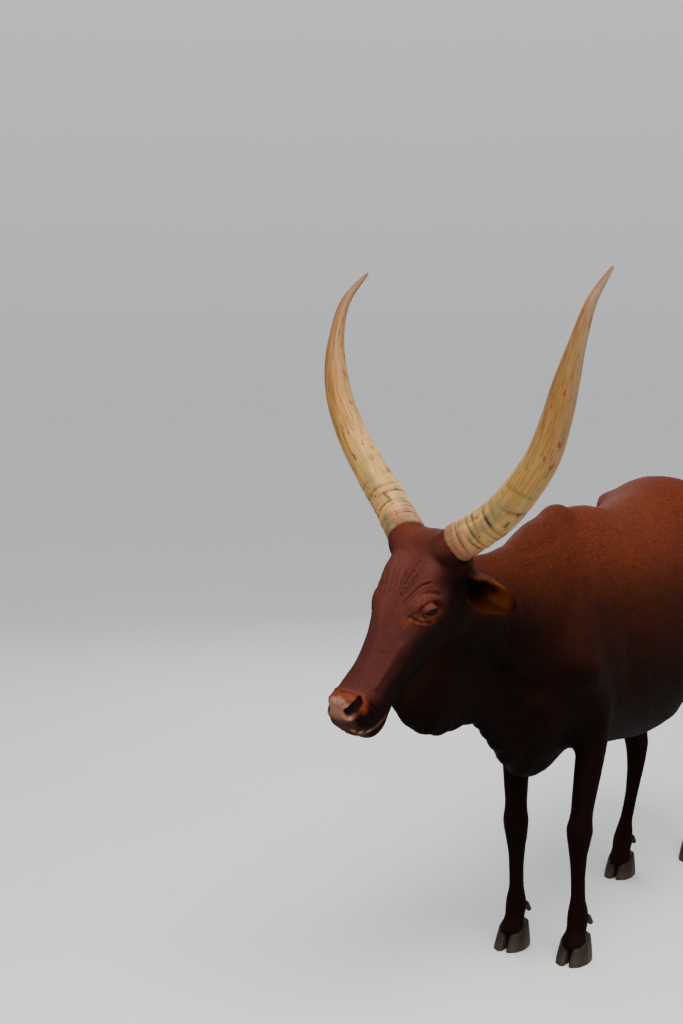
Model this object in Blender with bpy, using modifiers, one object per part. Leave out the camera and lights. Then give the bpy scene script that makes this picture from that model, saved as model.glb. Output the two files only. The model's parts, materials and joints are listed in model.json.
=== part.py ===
"""A life-size ankole watusi cow, standing, with its head turned a little to its right.

Metres, +Z up, +X towards the head, +Y to the animal's left. The body is modelled whole from lofts
and rounded masses, fused, thinned to few faces, and then parted with thin cuts into named nodes.
"""

import math

import bmesh
import bpy
import numpy as np
from mathutils import Matrix, Vector

# Gap that touching nodes keep, and the width of every parting cut
GAP = 0.0003

# Sizes that drive the body, in metres. X is measured from the line between the fore feet.
HUMP_TOP = 1.306
HUMP_PLACE = (-0.06, 0, 1.18)
CHINE_HEIGHT = 1.265
SACRUM_HEIGHT = 1.335
BELLY_HEIGHT = 0.535
BRISKET_HEIGHT = 0.532
PIN_X = -1.30
HOOK_X = -0.93
HOOK_HALF_WIDTH = 0.200
BARREL_HALF_WIDTH = 0.275

# The head: where its poll is, how it is turned, and its length
POLL = Vector((0.60, -0.064, 1.272))
HEAD_TURN = math.radians(-21)
HEAD_PITCH = math.radians(52)
HEAD_ROLL = math.radians(-2.2)
HEAD_LENGTH = 0.548
EYE_RADIUS = 0.0205
EYE_OPENING = (0.0200, 0.0105, 0.0160)
EYE_PLACE = Vector((0.202, 0.0825, -0.043))

# The left horn as places on its middle line, each beside, before and above the poll, with its
# radius there. The right horn mirrors it.
HORN_WAY = (
    (0.099, 0.001, -0.018, 0.0515), (0.186, -0.025, 0.042, 0.0485), (0.255, -0.029, 0.101, 0.0455),
    (0.345, -0.024, 0.204, 0.0415), (0.397, -0.014, 0.302, 0.0365), (0.425, -0.014, 0.395, 0.0305),
    (0.441, -0.029, 0.487, 0.0205), (0.448, -0.063, 0.579, 0.0132), (0.443, -0.136, 0.659, 0.0030),
)

# The ears, the udder and the tail
EAR_LENGTH = 0.150
EAR_THICKNESS = 0.0045
UDDER_PLACE = (-0.915, 0.030, 0.695)
UDDER_RADII = (0.100, 0.068, 0.062)
TAIL_CUT = (-1.347, 0, 1.045)
SWITCH_TOP = (-1.341, 0.014, 0.76)
SWITCH_LENGTH = 0.46
SWITCH_LOCKS = 12

# Feet: the height of the coronet at the middle of the foot, and how it slopes down to the heel
CORONET_HEIGHT = 0.058
CORONET_SLOPE = math.radians(20)
CLAW_WIDTH = 0.046
CLEFT = 0.006

# Fineness of the fused flesh, and how many triangles each region keeps
VOXEL = 0.006
HEAD_TRIANGLES = 3300
BODY_TRIANGLES = 3900


def clear_scene():
    for obj in list(bpy.data.objects):
        bpy.data.objects.remove(obj)


def new_collection(name):
    made = bpy.data.collections.new(name)
    bpy.context.scene.collection.children.link(made)
    return made


def material(name, colour, roughness):
    made = bpy.data.materials.new(name)
    made.use_nodes = True
    shader = made.node_tree.nodes["Principled BSDF"]
    shader.inputs["Base Color"].default_value = (*colour, 1.0)
    shader.inputs["Roughness"].default_value = roughness
    shader.inputs["Metallic"].default_value = 0.0
    return made


def profile(pairs):
    """A smooth curve through (place, value) pairs, as a function of place."""
    pairs = sorted(pairs)
    places = np.array([p for p, _ in pairs])
    values = np.array([v for _, v in pairs], float)
    slopes = np.gradient(values, places)

    def at(place):
        place = min(max(place, places[0]), places[-1])
        i = min(max(int(np.searchsorted(places, place)) - 1, 0), len(places) - 2)
        width = places[i + 1] - places[i]
        t = (place - places[i]) / width
        return float(
            values[i] * (1 + 2 * t) * (1 - t) ** 2
            + slopes[i] * width * t * (1 - t) ** 2
            + values[i + 1] * t * t * (3 - 2 * t)
            + slopes[i + 1] * width * t * t * (t - 1)
        )

    return at


def way_at(points, t):
    """The point at t, from 0 to len(points) - 1, on a smooth line through the points."""
    last = len(points) - 1
    i = min(int(t), last - 1)
    a, b, c, d = (Vector(points[min(max(k, 0), last)]) for k in range(i - 1, i + 3))
    f = t - i
    bend = (c - a) * f * (1 - f) ** 2 / 2 + (d - b) * f * f * (f - 1) / 2
    return b * (1 + 2 * f) * (1 - f) ** 2 + c * f * f * (3 - 2 * f) + bend


def object_from(bm, name, home):
    mesh = bpy.data.meshes.new(name)
    bm.to_mesh(mesh)
    bm.free()
    made = bpy.data.objects.new(name, mesh)
    home.objects.link(made)
    return made


def loft(name, rings, home):
    """A closed skin over rings that have the same number of points, with flat ends."""
    bm = bmesh.new()
    rows = [[bm.verts.new(p) for p in ring] for ring in rings]
    for low, high in zip(rows, rows[1:]):
        for i in range(len(low)):
            j = (i + 1) % len(low)
            bm.faces.new((low[i], low[j], high[j], high[i]))
    bm.faces.new(rows[0][::-1])
    bm.faces.new(rows[-1])
    bmesh.ops.recalc_face_normals(bm, faces=bm.faces)
    if bm.calc_volume(signed=True) < 0:
        bmesh.ops.reverse_faces(bm, faces=bm.faces)
    return object_from(bm, name, home)


def ellipsoid(name, centre, radii, home, turn=None, segments=24):
    bm = bmesh.new()
    bmesh.ops.create_uvsphere(bm, u_segments=segments, v_segments=segments // 2, radius=1.0)
    place = Matrix.Translation(centre)
    if turn is not None:
        place = place @ turn.to_4x4()
    bm.transform(place @ Matrix.Diagonal((*radii, 1.0)))
    return object_from(bm, name, home)


def frustum(name, start, end, start_radius, end_radius, home, segments=24):
    """A cone or cylinder between two points."""
    axis = Vector(end) - Vector(start)
    bm = bmesh.new()
    bmesh.ops.create_cone(
        bm, cap_ends=True, segments=segments,
        radius1=start_radius, radius2=end_radius, depth=axis.length,
    )
    turn = axis.to_track_quat("Z", "Y").to_matrix().to_4x4()
    bm.transform(Matrix.Translation((Vector(start) + Vector(end)) / 2) @ turn)
    return object_from(bm, name, home)


def slab(name, centre, normal, half_size, home, thickness=GAP):
    """A thin box that parts what it crosses, at right angles to normal. half_size is one number, or
    a pair: along the slope and level across it."""
    if isinstance(half_size, float):
        half_size = (half_size, half_size)
    normal = Vector(normal).normalized()
    level = Vector((0, 0, 1)).cross(normal)
    level = level.normalized() if level.length > 0.001 else Vector((0, 1, 0))
    slope = level.cross(normal)
    bm = bmesh.new()
    bmesh.ops.create_cube(bm, size=1.0)
    turn = Matrix((slope, level, normal)).transposed().to_4x4()
    size = Matrix.Diagonal((2 * half_size[0], 2 * half_size[1], thickness, 1.0))
    bm.transform(Matrix.Translation(centre) @ turn @ size)
    return object_from(bm, name, home)


def rounded_ring(centre, across, up, half_width, above, below, power_above, power_below, count):
    """A ring that is half_width across, reaches above and below its centre, and may be squarer or
    more peaked than an ellipse above and below."""
    ring = []
    for i in range(count):
        angle = 2 * math.pi * i / count
        c, s = math.cos(angle), math.sin(angle)
        power = power_above if s >= 0 else power_below
        reach = above if s >= 0 else below
        side = math.copysign(abs(c) ** (2 / power), c) * half_width
        rise = math.copysign(abs(s) ** (2 / power), s) * reach
        ring.append(Vector(centre) + Vector(across) * side + Vector(up) * rise)
    return ring


def closed_ring(points, per_span):
    """A smooth closed line through a few points."""
    n = len(points)
    ring = []
    for i in range(n):
        a, b, c, d = (Vector(points[(i + k) % n]) for k in (-1, 0, 1, 2))
        for step in range(per_span):
            f = step / per_span
            bend = (c - a) * f * (1 - f) ** 2 / 2 + (d - b) * f * f * (f - 1) / 2
            ring.append(b * (1 + 2 * f) * (1 - f) ** 2 + c * f * f * (3 - 2 * f) + bend)
    return ring


def head_matrix():
    """From the head's own frame (X down the face, Y to its left, Z out of the forehead)."""
    turn = Matrix.Rotation(HEAD_TURN, 4, "Z")
    pitch = Matrix.Rotation(HEAD_PITCH, 4, "Y")
    roll = Matrix.Rotation(HEAD_ROLL, 4, "X")
    return Matrix.Translation(POLL) @ turn @ pitch @ roll


def make_trunk(home):
    topline = profile([
        (PIN_X, 1.15), (-1.26, 1.225), (-1.16, 1.29), (HOOK_X - 0.03, SACRUM_HEIGHT),
        (-0.72, 1.292), (-0.45, CHINE_HEIGHT), (-0.25, 1.286), (-0.12, 1.280),
        (0.0, 1.24), (0.12, 1.17), (0.22, 1.04),
    ])
    underline = profile([
        (PIN_X, 1.07), (-1.24, 0.97), (-1.12, 0.87), (-0.98, 0.78), (-0.87, 0.70), (-0.76, 0.62),
        (-0.58, BELLY_HEIGHT), (-0.35, 0.545), (-0.10, 0.580), (0.10, 0.64), (0.22, 0.80),
    ])
    half_width = profile([
        (PIN_X, 0.075), (-1.24, 0.130), (-1.10, 0.175), (HOOK_X, 0.210), (-0.75, 0.255),
        (-0.58, BARREL_HALF_WIDTH), (-0.35, 0.245), (-0.12, 0.198), (0.06, 0.168), (0.22, 0.11),
    ])
    widest = profile([(PIN_X, 0.55), (-1.0, 0.48), (-0.6, 0.43), (-0.1, 0.42), (0.22, 0.45)])
    peak = profile([(PIN_X, 2.2), (-1.0, 2.5), (-0.75, 1.9), (-0.3, 1.75), (-0.1, 1.7), (0.22, 1.9)])
    rings = []
    for x in np.linspace(PIN_X, 0.22, 40):
        top, bottom = topline(x), underline(x)
        middle = bottom + (top - bottom) * widest(x)
        rings.append(rounded_ring(
            (x, 0, middle), (0, 1, 0), (0, 0, 1), half_width(x),
            top - middle, middle - bottom, peak(x), 2.3, 40,
        ))
    pieces = [loft("trunk", rings, home)]
    pieces.append(ellipsoid("hump", HUMP_PLACE, (0.135, 0.062, HUMP_TOP - HUMP_PLACE[2]), home))
    pieces.append(ellipsoid("breast", (0.10, 0, 0.78), (0.165, 0.125, 0.215), home))
    for side in (1, -1):
        hook = (HOOK_X, side * (HOOK_HALF_WIDTH - 0.078), SACRUM_HEIGHT - 0.112)
        pieces.append(ellipsoid("hook", hook, (0.110, 0.078, 0.066), home))
        pin = (PIN_X + 0.045, side * 0.078, 1.145)
        pieces.append(ellipsoid("pin", pin, (0.055, 0.042, 0.055), home))
    return pieces


def neck_middle(x):
    """How far the neck's middle has bent to the side at x."""
    bend = POLL.y * (max(x, 0.0) / POLL.x) ** 1.6
    return bend - 0.35 * max(x - POLL.x, 0.0)


def make_neck(home):
    crest = profile([
        (-0.15, 1.22), (-0.02, 1.27), (0.07, 1.272), (0.15, 1.243), (0.25, 1.211),
        (0.37, 1.195), (0.48, 1.20), (0.58, 1.215),
    ])
    throat = profile([
        (-0.15, 0.72), (0.0, 0.70), (0.10, 0.715), (0.25, 0.80), (0.37, 0.88),
        (0.48, 0.925), (0.58, 0.97),
    ])
    half_width = profile([
        (-0.15, 0.15), (0.0, 0.158), (0.12, 0.142), (0.25, 0.112), (0.37, 0.09),
        (0.48, 0.083), (0.58, 0.075),
    ])
    rings = []
    for x in np.linspace(-0.15, 0.58, 24):
        top, bottom = crest(x), throat(x)
        middle = bottom + (top - bottom) * 0.45
        rings.append(rounded_ring(
            (x, neck_middle(x), middle), (0, 1, 0), (0, 0, 1), half_width(x),
            top - middle, middle - bottom, 1.7, 2.1, 32,
        ))
    return [loft("neck", rings, home)]


def make_dewlap(home):
    """The loose fold from the throat to the brisket, thin above and rounded along its hem."""
    hem = profile([
        (-0.10, 0.59), (0.0, 0.553), (0.08, BRISKET_HEIGHT), (0.17, 0.545), (0.26, 0.605),
        (0.34, 0.680), (0.41, 0.736), (0.47, 0.740), (0.54, 0.736), (0.62, 0.744), (0.67, 0.774),
        (0.72, 0.86),
    ])
    half_width = profile([
        (-0.10, 0.07), (0.05, 0.065), (0.16, 0.05), (0.30, 0.034), (0.45, 0.030), (0.62, 0.032),
        (0.72, 0.022),
    ])
    dewlap_root = profile([
        (-0.10, 0.90), (0.30, 0.94), (0.48, 1.06), (0.60, 0.99), (0.72, 0.91),
    ])
    rings = []
    for x in np.linspace(-0.10, 0.72, 30):
        bottom = hem(x)
        top = dewlap_root(x)
        middle = bottom + 0.3 * (top - bottom)
        rings.append(rounded_ring(
            (x, neck_middle(x), middle), (0, 1, 0), (0, 0, 1), half_width(x),
            top - middle, middle - bottom, 2.0, 2.2, 24,
        ))
    return [loft("dewlap", rings, home)]


# Joints of each leg from its top to the coronet, for the left side; a right leg mirrors Y
FORE_JOINTS = {
    "left": ((-0.13, 0.060, 1.20), (0.12, 0.125, 0.90), (-0.03, 0.136, 0.71),
             (0.012, 0.114, 0.365), (0.008, 0.110, 0.125), (0.034, 0.110, 0.062)),
    "right": ((-0.13, 0.060, 1.20), (0.11, 0.125, 0.90), (-0.04, 0.118, 0.71),
              (-0.002, 0.088, 0.362), (-0.010, 0.090, 0.125), (0.016, 0.090, 0.062)),
}
HIND_JOINTS = {
    "left": ((-1.06, 0.11, 1.20), (-0.93, 0.165, 0.80), (-1.135, 0.125, 0.475),
             (-1.105, 0.115, 0.13), (-1.075, 0.115, 0.065)),
    "right": ((-1.04, 0.11, 1.20), (-0.87, 0.145, 0.79), (-0.95, 0.055, 0.432),
              (-0.805, 0.045, 0.128), (-0.775, 0.045, 0.064)),
}

# How far from the middle the inner face of each fore leg is parted from the brisket
FORE_CUT_INSET = {"left": 0.066, "right": 0.048}

# Where along the joints, and the reach forwards, backwards and to each side there
FORE_FORM = (
    (0.00, 0.060, 0.080, 0.025), (0.35, 0.085, 0.110, 0.045), (0.70, 0.085, 0.150, 0.056),
    (1.00, 0.065, 0.190, 0.064), (1.50, 0.080, 0.150, 0.064), (2.00, 0.078, 0.066, 0.054),
    (2.25, 0.058, 0.052, 0.048), (2.60, 0.044, 0.043, 0.040), (2.85, 0.036, 0.036, 0.035),
    (3.00, 0.041, 0.036, 0.041), (3.15, 0.032, 0.034, 0.033), (3.40, 0.025, 0.028, 0.026),
    (3.75, 0.025, 0.028, 0.026), (4.00, 0.033, 0.038, 0.034), (4.40, 0.028, 0.034, 0.031),
    (5.00, 0.038, 0.040, 0.042),
)
HIND_FORM = (
    (0.00, 0.110, 0.170, 0.050), (0.40, 0.125, 0.235, 0.085), (0.75, 0.105, 0.245, 0.092),
    (1.00, 0.085, 0.235, 0.080), (1.35, 0.075, 0.160, 0.062), (1.65, 0.052, 0.090, 0.045),
    (1.87, 0.046, 0.082, 0.036), (2.00, 0.045, 0.055, 0.042), (2.20, 0.036, 0.040, 0.035),
    (2.50, 0.027, 0.030, 0.027), (2.85, 0.027, 0.030, 0.028), (3.00, 0.034, 0.038, 0.035),
    (3.50, 0.030, 0.034, 0.032), (4.00, 0.038, 0.040, 0.043),
)


def make_leg(name, joints, form, side, home):
    """A stack of level slices down the joints, carried on below the coronet for the foot's cut."""
    joints = [Vector((x, side * y, z)) for x, y, z in joints]
    front = profile([(t, f) for t, f, _, _ in form])
    back = profile([(t, b) for t, _, b, _ in form])
    across = profile([(t, w) for t, _, _, w in form])
    last = len(joints) - 1
    rings = []
    for t in np.linspace(0, last, 12 * last):
        rings.append(leg_slice(way_at(joints, t), front(t), back(t), across(t)))
    sole = joints[-1] + Vector((0.014, 0, -0.034))
    rings.append(leg_slice(sole, front(last), back(last), across(last)))
    return loft(name, rings, home)


def leg_slice(centre, front, back, across):
    count = 24
    ring = []
    for i in range(count):
        angle = 2 * math.pi * i / count
        c, s = math.cos(angle), math.sin(angle)
        ring.append(centre + Vector((c * (front if c > 0 else back), s * across, 0)))
    return ring


def make_legs(home):
    pieces = []
    for word, side in (("left", 1), ("right", -1)):
        pieces.append(make_leg("foreleg", FORE_JOINTS[word], FORE_FORM, side, home))
        pieces.append(make_leg("hindleg", HIND_JOINTS[word], HIND_FORM, side, home))
    return pieces


def make_head(home):
    top = profile([
        (-0.02, -0.02), (0.0, 0.0), (0.06, 0.010), (0.14, 0.016), (0.21, 0.008), (0.29, -0.006),
        (0.39, -0.009), (0.46, -0.003), (0.515, -0.003), (HEAD_LENGTH, -0.034),
    ])
    bottom = profile([
        (-0.02, -0.13), (0.03, -0.175), (0.09, -0.215), (0.15, -0.225), (0.22, -0.205),
        (0.30, -0.174), (0.38, -0.157), (0.45, -0.157), (0.505, -0.147), (HEAD_LENGTH, -0.108),
    ])
    brow = profile([
        (-0.02, 0.075), (0.05, 0.088), (0.13, 0.093), (0.20, 0.097), (0.25, 0.080),
        (0.32, 0.054), (0.40, 0.045), (0.47, 0.049), (0.515, 0.049), (HEAD_LENGTH, 0.034),
    ])
    cheek = profile([
        (-0.02, 0.085), (0.05, 0.098), (0.13, 0.101), (0.20, 0.100), (0.25, 0.090),
        (0.32, 0.074), (0.40, 0.063), (0.47, 0.065), (0.52, 0.062), (HEAD_LENGTH, 0.046),
    ])
    jaw = profile([
        (-0.02, 0.05), (0.05, 0.068), (0.12, 0.072), (0.19, 0.064), (0.26, 0.050),
        (0.34, 0.041), (0.42, 0.041), (0.48, 0.046), (0.52, 0.041), (HEAD_LENGTH, 0.026),
    ])
    place = head_matrix()
    rings = []
    for x in np.linspace(-0.02, HEAD_LENGTH, 34):
        deep = top(x) - bottom(x)
        half = [
            (brow(x) * 0.72, top(x) - 0.004),
            (cheek(x), top(x) - 0.34 * deep),
            (jaw(x), bottom(x) + 0.20 * deep),
        ]
        points = [(x, 0, top(x))]
        points += [(x, w, z) for w, z in half]
        points += [(x, 0, bottom(x))]
        points += [(x, -w, z) for w, z in half[::-1]]
        rings.append([place @ p for p in closed_ring(points, 4)])
    pieces = [loft("skull", rings, home)]
    turn = place.to_3x3()
    for side in (1, -1):
        eye = Vector((EYE_PLACE.x, side * EYE_PLACE.y, EYE_PLACE.z))
        pieces.append(ellipsoid("orbit", place @ (eye + Vector((-0.004, -side * 0.010, 0.008))),
                                (0.050, 0.028, 0.041), home, turn))
        pieces.append(ellipsoid("masseter", place @ Vector((0.125, side * 0.062, -0.135)),
                                (0.085, 0.032, 0.072), home, turn))
        pieces.append(ellipsoid("nostril_wing", place @ Vector((0.507, side * 0.038, -0.034)),
                                (0.032, 0.024, 0.028), home, turn))
    chin = place @ Vector((0.484, 0, -0.134))
    pieces.append(ellipsoid("chin", chin, (0.054, 0.041, 0.028), home, turn))
    return pieces


def horn_points(side):
    """The horn's middle line in the body's frame."""
    turn = Matrix.Rotation(HEAD_TURN, 4, "Z") @ Matrix.Rotation(HEAD_ROLL, 4, "X")
    return [POLL + turn @ Vector((ahead, side * beside, above)) for beside, ahead, above, _ in HORN_WAY]


def make_pedestals(home):
    """The crown between the horns, and the bony stumps that the horns grow from."""
    turn = Matrix.Rotation(HEAD_TURN, 3, "Z") @ Matrix.Rotation(HEAD_ROLL, 3, "X")
    crown = POLL + turn @ Vector((-0.012, 0, -0.040))
    pieces = [ellipsoid("crown", crown, (0.062, 0.105, 0.048), home, turn)]
    for side in (1, -1):
        points = horn_points(side)
        way = (way_at(points, 0.3) - points[0]).normalized()
        radius = HORN_WAY[0][3]
        pieces.append(frustum("pedestal", points[0] - way * 0.10, points[0] + way * 0.012,
                              radius * 0.72, radius * 1.03, home))
    return pieces


def make_tail_root(home):
    points = ((-1.13, 0, 1.255), (-1.235, 0, 1.245), (-1.312, 0, 1.185), (-1.342, 0, 1.09),
              (-1.348, 0.004, 0.97), (-1.345, 0.01, 0.85), (-1.341, 0.014, 0.75))
    radius = profile([(0, 0.045), (1, 0.044), (2, 0.034), (3, 0.026), (4, 0.020), (6, 0.016)])
    rings = []
    for t in np.linspace(0, len(points) - 1, 50):
        here = way_at(points, t)
        along = (way_at(points, min(t + 0.05, 6)) - way_at(points, max(t - 0.05, 0))).normalized()
        across = Vector((0, 1, 0))
        up = along.cross(across)
        r = radius(t)
        rings.append(rounded_ring(here, across, up, r, r * 0.85, r * 0.85, 2, 2, 16))
    return [loft("tail", rings, home)]


def fuse(pieces, name, voxel, home):
    """Joins closed pieces into one skin of even faces."""
    bm = bmesh.new()
    for piece in pieces:
        bm.from_mesh(piece.data)
        bpy.data.objects.remove(piece)
    joined = object_from(bm, name, home)
    remesh = joined.modifiers.new("Remesh", "REMESH")
    remesh.mode = "VOXEL"
    remesh.voxel_size = voxel
    return applied(joined)


def applied(obj):
    """The object with its modifiers made part of its mesh."""
    graph = bpy.context.evaluated_depsgraph_get()
    graph.update()
    mesh = bpy.data.meshes.new_from_object(obj.evaluated_get(graph))
    obj.modifiers.clear()
    old = obj.data
    obj.data = mesh
    bpy.data.meshes.remove(old)
    return obj


def coordinates(mesh):
    co = np.empty(len(mesh.vertices) * 3, np.float32)
    mesh.vertices.foreach_get("co", co)
    return co.reshape(-1, 3).astype(float)


def soften(obj, strength, rounds):
    """Evens out creases: each round moves points to their neighbours' middle, then part way back.
    strength gives each point's share of the move."""
    mesh = obj.data
    co = coordinates(mesh)
    ends = np.empty(len(mesh.edges) * 2, np.int32)
    mesh.edges.foreach_get("vertices", ends)
    ends = ends.reshape(-1, 2)
    a = np.concatenate([ends[:, 0], ends[:, 1]])
    b = np.concatenate([ends[:, 1], ends[:, 0]])
    count = np.bincount(a, minlength=len(co))[:, None]
    share = strength(co)[:, None]
    for step in range(rounds):
        for pull in (0.60, -0.35):
            middle = np.stack([np.bincount(a, co[b, k], len(co)) for k in range(3)], 1) / count
            co = co + (middle - co) * pull * share
    mesh.vertices.foreach_set("co", co.astype(np.float32).ravel())
    mesh.update()


def smooth_step(value, low, high):
    t = np.clip((value - low) / (high - low), 0, 1)
    return t * t * (3 - 2 * t)


def in_head(co):
    """Points in the head's own frame."""
    back = np.array(head_matrix().inverted())
    return co @ back[:3, :3].T + back[:3, 3]


def head_share(co):
    """1 on the head and 0 behind it."""
    h = in_head(co)
    return smooth_step(h[:, 0] - 0.35 * h[:, 2] - 0.02, -0.06, 0.0) * (co[:, 0] > 0.3)


def softness(co):
    """More on the trunk, less on the legs, tail and head."""
    trunk = smooth_step(co[:, 2], 0.45, 0.75)
    tail = smooth_step(-co[:, 0], 1.27, 1.30)
    return (0.22 + 0.78 * trunk) * (1 - 0.82 * head_share(co)) * (1 - 0.8 * tail)


def thin_out(obj, wanted, protect):
    """Thins the mesh until wanted triangles are left outside the protected points."""
    group = obj.vertex_groups.new(name="thin")
    co = coordinates(obj.data)
    free = 1.0 - protect(co)
    for i in np.nonzero(free > 0.5)[0]:
        group.add([int(i)], 1.0, "REPLACE")
    obj.data.calc_loop_triangles()
    corner = np.empty(len(obj.data.loop_triangles) * 3, np.int32)
    obj.data.loop_triangles.foreach_get("vertices", corner)
    kept = int((free[corner.reshape(-1, 3)[:, 0]] <= 0.5).sum())
    decimate = obj.modifiers.new("Thin", "DECIMATE")
    decimate.ratio = (kept + wanted) / (len(corner) / 3)
    decimate.vertex_group = "thin"
    decimate.vertex_group_factor = 10.0
    decimate.use_collapse_triangulate = True
    applied(obj)
    obj.vertex_groups.clear()


def boolean(obj, cutters, operation="DIFFERENCE"):
    for cutter in cutters:
        modifier = obj.modifiers.new("Cut", "BOOLEAN")
        modifier.operation = operation
        modifier.solver = "MANIFOLD"
        modifier.object = cutter
    applied(obj)
    for cutter in cutters:
        bpy.data.objects.remove(cutter)


def loose_parts(obj, home):
    """Each separate closed body of the object as an object of its own."""
    bm = bmesh.new()
    bm.from_mesh(obj.data)
    bm.verts.ensure_lookup_table()
    label = [-1] * len(bm.verts)
    count = 0
    for seed in bm.verts:
        if label[seed.index] >= 0:
            continue
        stack = [seed]
        label[seed.index] = count
        while stack:
            here = stack.pop()
            for edge in here.link_edges:
                other = edge.other_vert(here)
                if label[other.index] < 0:
                    label[other.index] = count
                    stack.append(other)
        count += 1
    bm.free()
    parts = []
    for k in range(count):
        piece = bmesh.new()
        piece.from_mesh(obj.data)
        piece.verts.ensure_lookup_table()
        bmesh.ops.delete(piece, geom=[v for v in piece.verts if label[v.index] != k], context="VERTS")
        parts.append(object_from(piece, f"loose_{k}", home))
    bpy.data.objects.remove(obj)
    return parts


def eye_centre(side):
    return head_matrix() @ Vector((EYE_PLACE.x, side * EYE_PLACE.y, EYE_PLACE.z))


def eye_axes(side):
    """The way an eye looks, the way to its inner corner, and the way to its upper lid."""
    turn = head_matrix().to_3x3()
    out = turn @ Vector((0.06, side, 0.10)).normalized()
    corner = turn @ Vector((0.77, 0, 0.64)).normalized()
    corner = (corner - out * corner.dot(out)).normalized()
    return out, corner, corner.cross(out) * -side


def eye_cutters(home):
    """The ball's seat and the almond opening between the lids."""
    cutters = []
    for side in (1, -1):
        centre = eye_centre(side)
        out, corner, rise = eye_axes(side)
        cutters.append(ellipsoid("socket", centre, (EYE_RADIUS + GAP,) * 3, home, segments=16))
        turn = Matrix((corner, rise, out)).transposed()
        before = centre + out * (EYE_RADIUS - 0.0015)
        cutters.append(ellipsoid("eye_opening", before, EYE_OPENING, home, turn, 14))
    return cutters


def make_lids(home):
    """Two rims that arch over each eye from corner to corner, thickest at their middle."""
    lids = []
    for side in (1, -1):
        centre = eye_centre(side)
        out, corner, rise = eye_axes(side)
        for name, open_angle, thick in (("upper", 33, 0.0072), ("lower", -30, 0.0060)):
            rings = []
            for step in range(11):
                t = step / 10
                sweep = math.radians(-82 + 164 * t)
                lift = math.radians(open_angle) * math.cos(sweep) ** 0.8
                flat = out * math.cos(sweep) + corner * math.sin(sweep)
                way = flat * math.cos(lift) + rise * math.sin(lift)
                edge = flat * -math.sin(lift) + rise * math.cos(lift)
                spot = centre + way * (EYE_RADIUS + 0.0006)
                half = thick * (0.45 + 0.55 * math.sin(math.pi * t))
                away = 1 if open_angle > 0 else -1
                rings.append([
                    spot - way * 0.004 + edge * (-0.1 * half) * away,
                    spot + way * (0.55 * half) + edge * (-0.05 * half) * away,
                    spot + way * (0.75 * half) + edge * (0.9 * half) * away,
                    spot + way * (0.1 * half) + edge * (2.3 * half) * away,
                    spot - way * 0.006 + edge * (2.0 * half) * away,
                ])
            lids.append(loft(name + "_lid", rings, home))
    return lids


def nostril_cutters(home):
    """A deep comma at each side of the muzzle: a round mouth with a slit that curls up behind."""
    place = head_matrix()
    cutters = []
    for side in (1, -1):
        turn = place.to_3x3() @ Matrix.Rotation(math.radians(-32 * side), 3, "Z")
        centre = place @ Vector((0.526, side * 0.046, -0.036))
        cutters.append(ellipsoid("nostril", centre, (0.018, 0.014, 0.0125), home, turn, 14))
        centre = place @ Vector((0.504, side * 0.057, -0.026))
        cutters.append(ellipsoid("slit", centre, (0.020, 0.011, 0.0065), home, turn, 12))
    return cutters


MOUTH_WAY = (
    (0.432, 0.050, -0.130), (0.452, 0.053, -0.123), (0.480, 0.053, -0.114), (0.510, 0.048, -0.104),
    (0.534, 0.034, -0.091), (0.546, 0.016, -0.083), (0.548, 0.0, -0.081),
)


def mouth_cutter(home):
    """A wedge whose thin edge runs 9 mm under the skin along the line between the lips."""
    place = head_matrix()
    half = [Vector(p) for p in MOUTH_WAY]
    way = half + [Vector((p.x, -p.y, p.z)) for p in half[-2::-1]]
    rings = []
    for t in np.linspace(0, len(way) - 1, 25):
        here = way_at(way, t)
        along = (way_at(way, min(t + 0.1, len(way) - 1)) - way_at(way, max(t - 0.1, 0))).normalized()
        out = Vector((-along.y, along.x, 0)).normalized()
        if out.dot(here - Vector((0.42, 0, 0))) < 0:
            out = -out
        gape = 0.0016 * math.sin(math.pi * min(max(t / (len(way) - 1), 0.04), 0.96)) ** 0.3
        rings.append([
            place @ (here - out * 0.009),
            place @ (here + out * 0.012 + Vector((0, 0, gape * 2.2))),
            place @ (here + out * 0.012 - Vector((0, 0, gape * 2.2))),
        ])
    return loft("mouth_line", rings, home)


def ear_frame(side):
    """The ear's root, the way it points, and the way its cup opens."""
    turn = Matrix.Rotation(HEAD_TURN, 3, "Z")
    root = head_matrix() @ Vector((0.057, side * 0.106, -0.092))
    along = turn @ Vector((-0.03 if side > 0 else -0.60, side * 0.90, -0.50)).normalized()
    opening = turn @ Vector((0.85, side * 0.25, -0.25))
    opening = (opening - along * opening.dot(along)).normalized()
    return root, along, opening


def make_ear(name, side, home):
    """A leaf-shaped cup, nearly a closed tube at its root and open and flat towards its tip."""
    root, along, opening = ear_frame(side)
    across = along.cross(opening)
    half_width = profile([(0, 0.021), (0.18, 0.029), (0.42, 0.045), (0.62, 0.047), (0.84, 0.036),
                          (0.95, 0.024), (1.0, 0.010)])
    wrap = profile([(0, 152), (0.2, 140), (0.45, 115), (0.75, 85), (1.0, 50)])
    hollow = profile([(0.0, 0.10), (0.05, 0.14), (0.14, 0.72), (0.25, 1.0), (1.0, 1.0)])
    droop = profile([(0, 0.0), (0.5, 0.004), (1.0, -0.016)])
    rings = []
    for t in np.linspace(0, 1, 13):
        spread = math.radians(wrap(t))
        radius = half_width(t) / math.sin(min(spread, math.pi / 2))
        inner = (radius - EAR_THICKNESS) * min(hollow(t), 1.0)
        middle = root + along * (GAP + t * EAR_LENGTH) + opening * (radius * 0.5 + droop(t))
        outer_arc, inner_arc = [], []
        for k in range(9):
            angle = spread * (k / 4 - 1)
            way = across * math.sin(angle) - opening * math.cos(angle)
            outer_arc.append(middle + way * radius)
            inner_arc.append(middle + way * inner)
        rings.append(outer_arc + inner_arc[::-1])
    return loft(name, rings, home)


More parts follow.
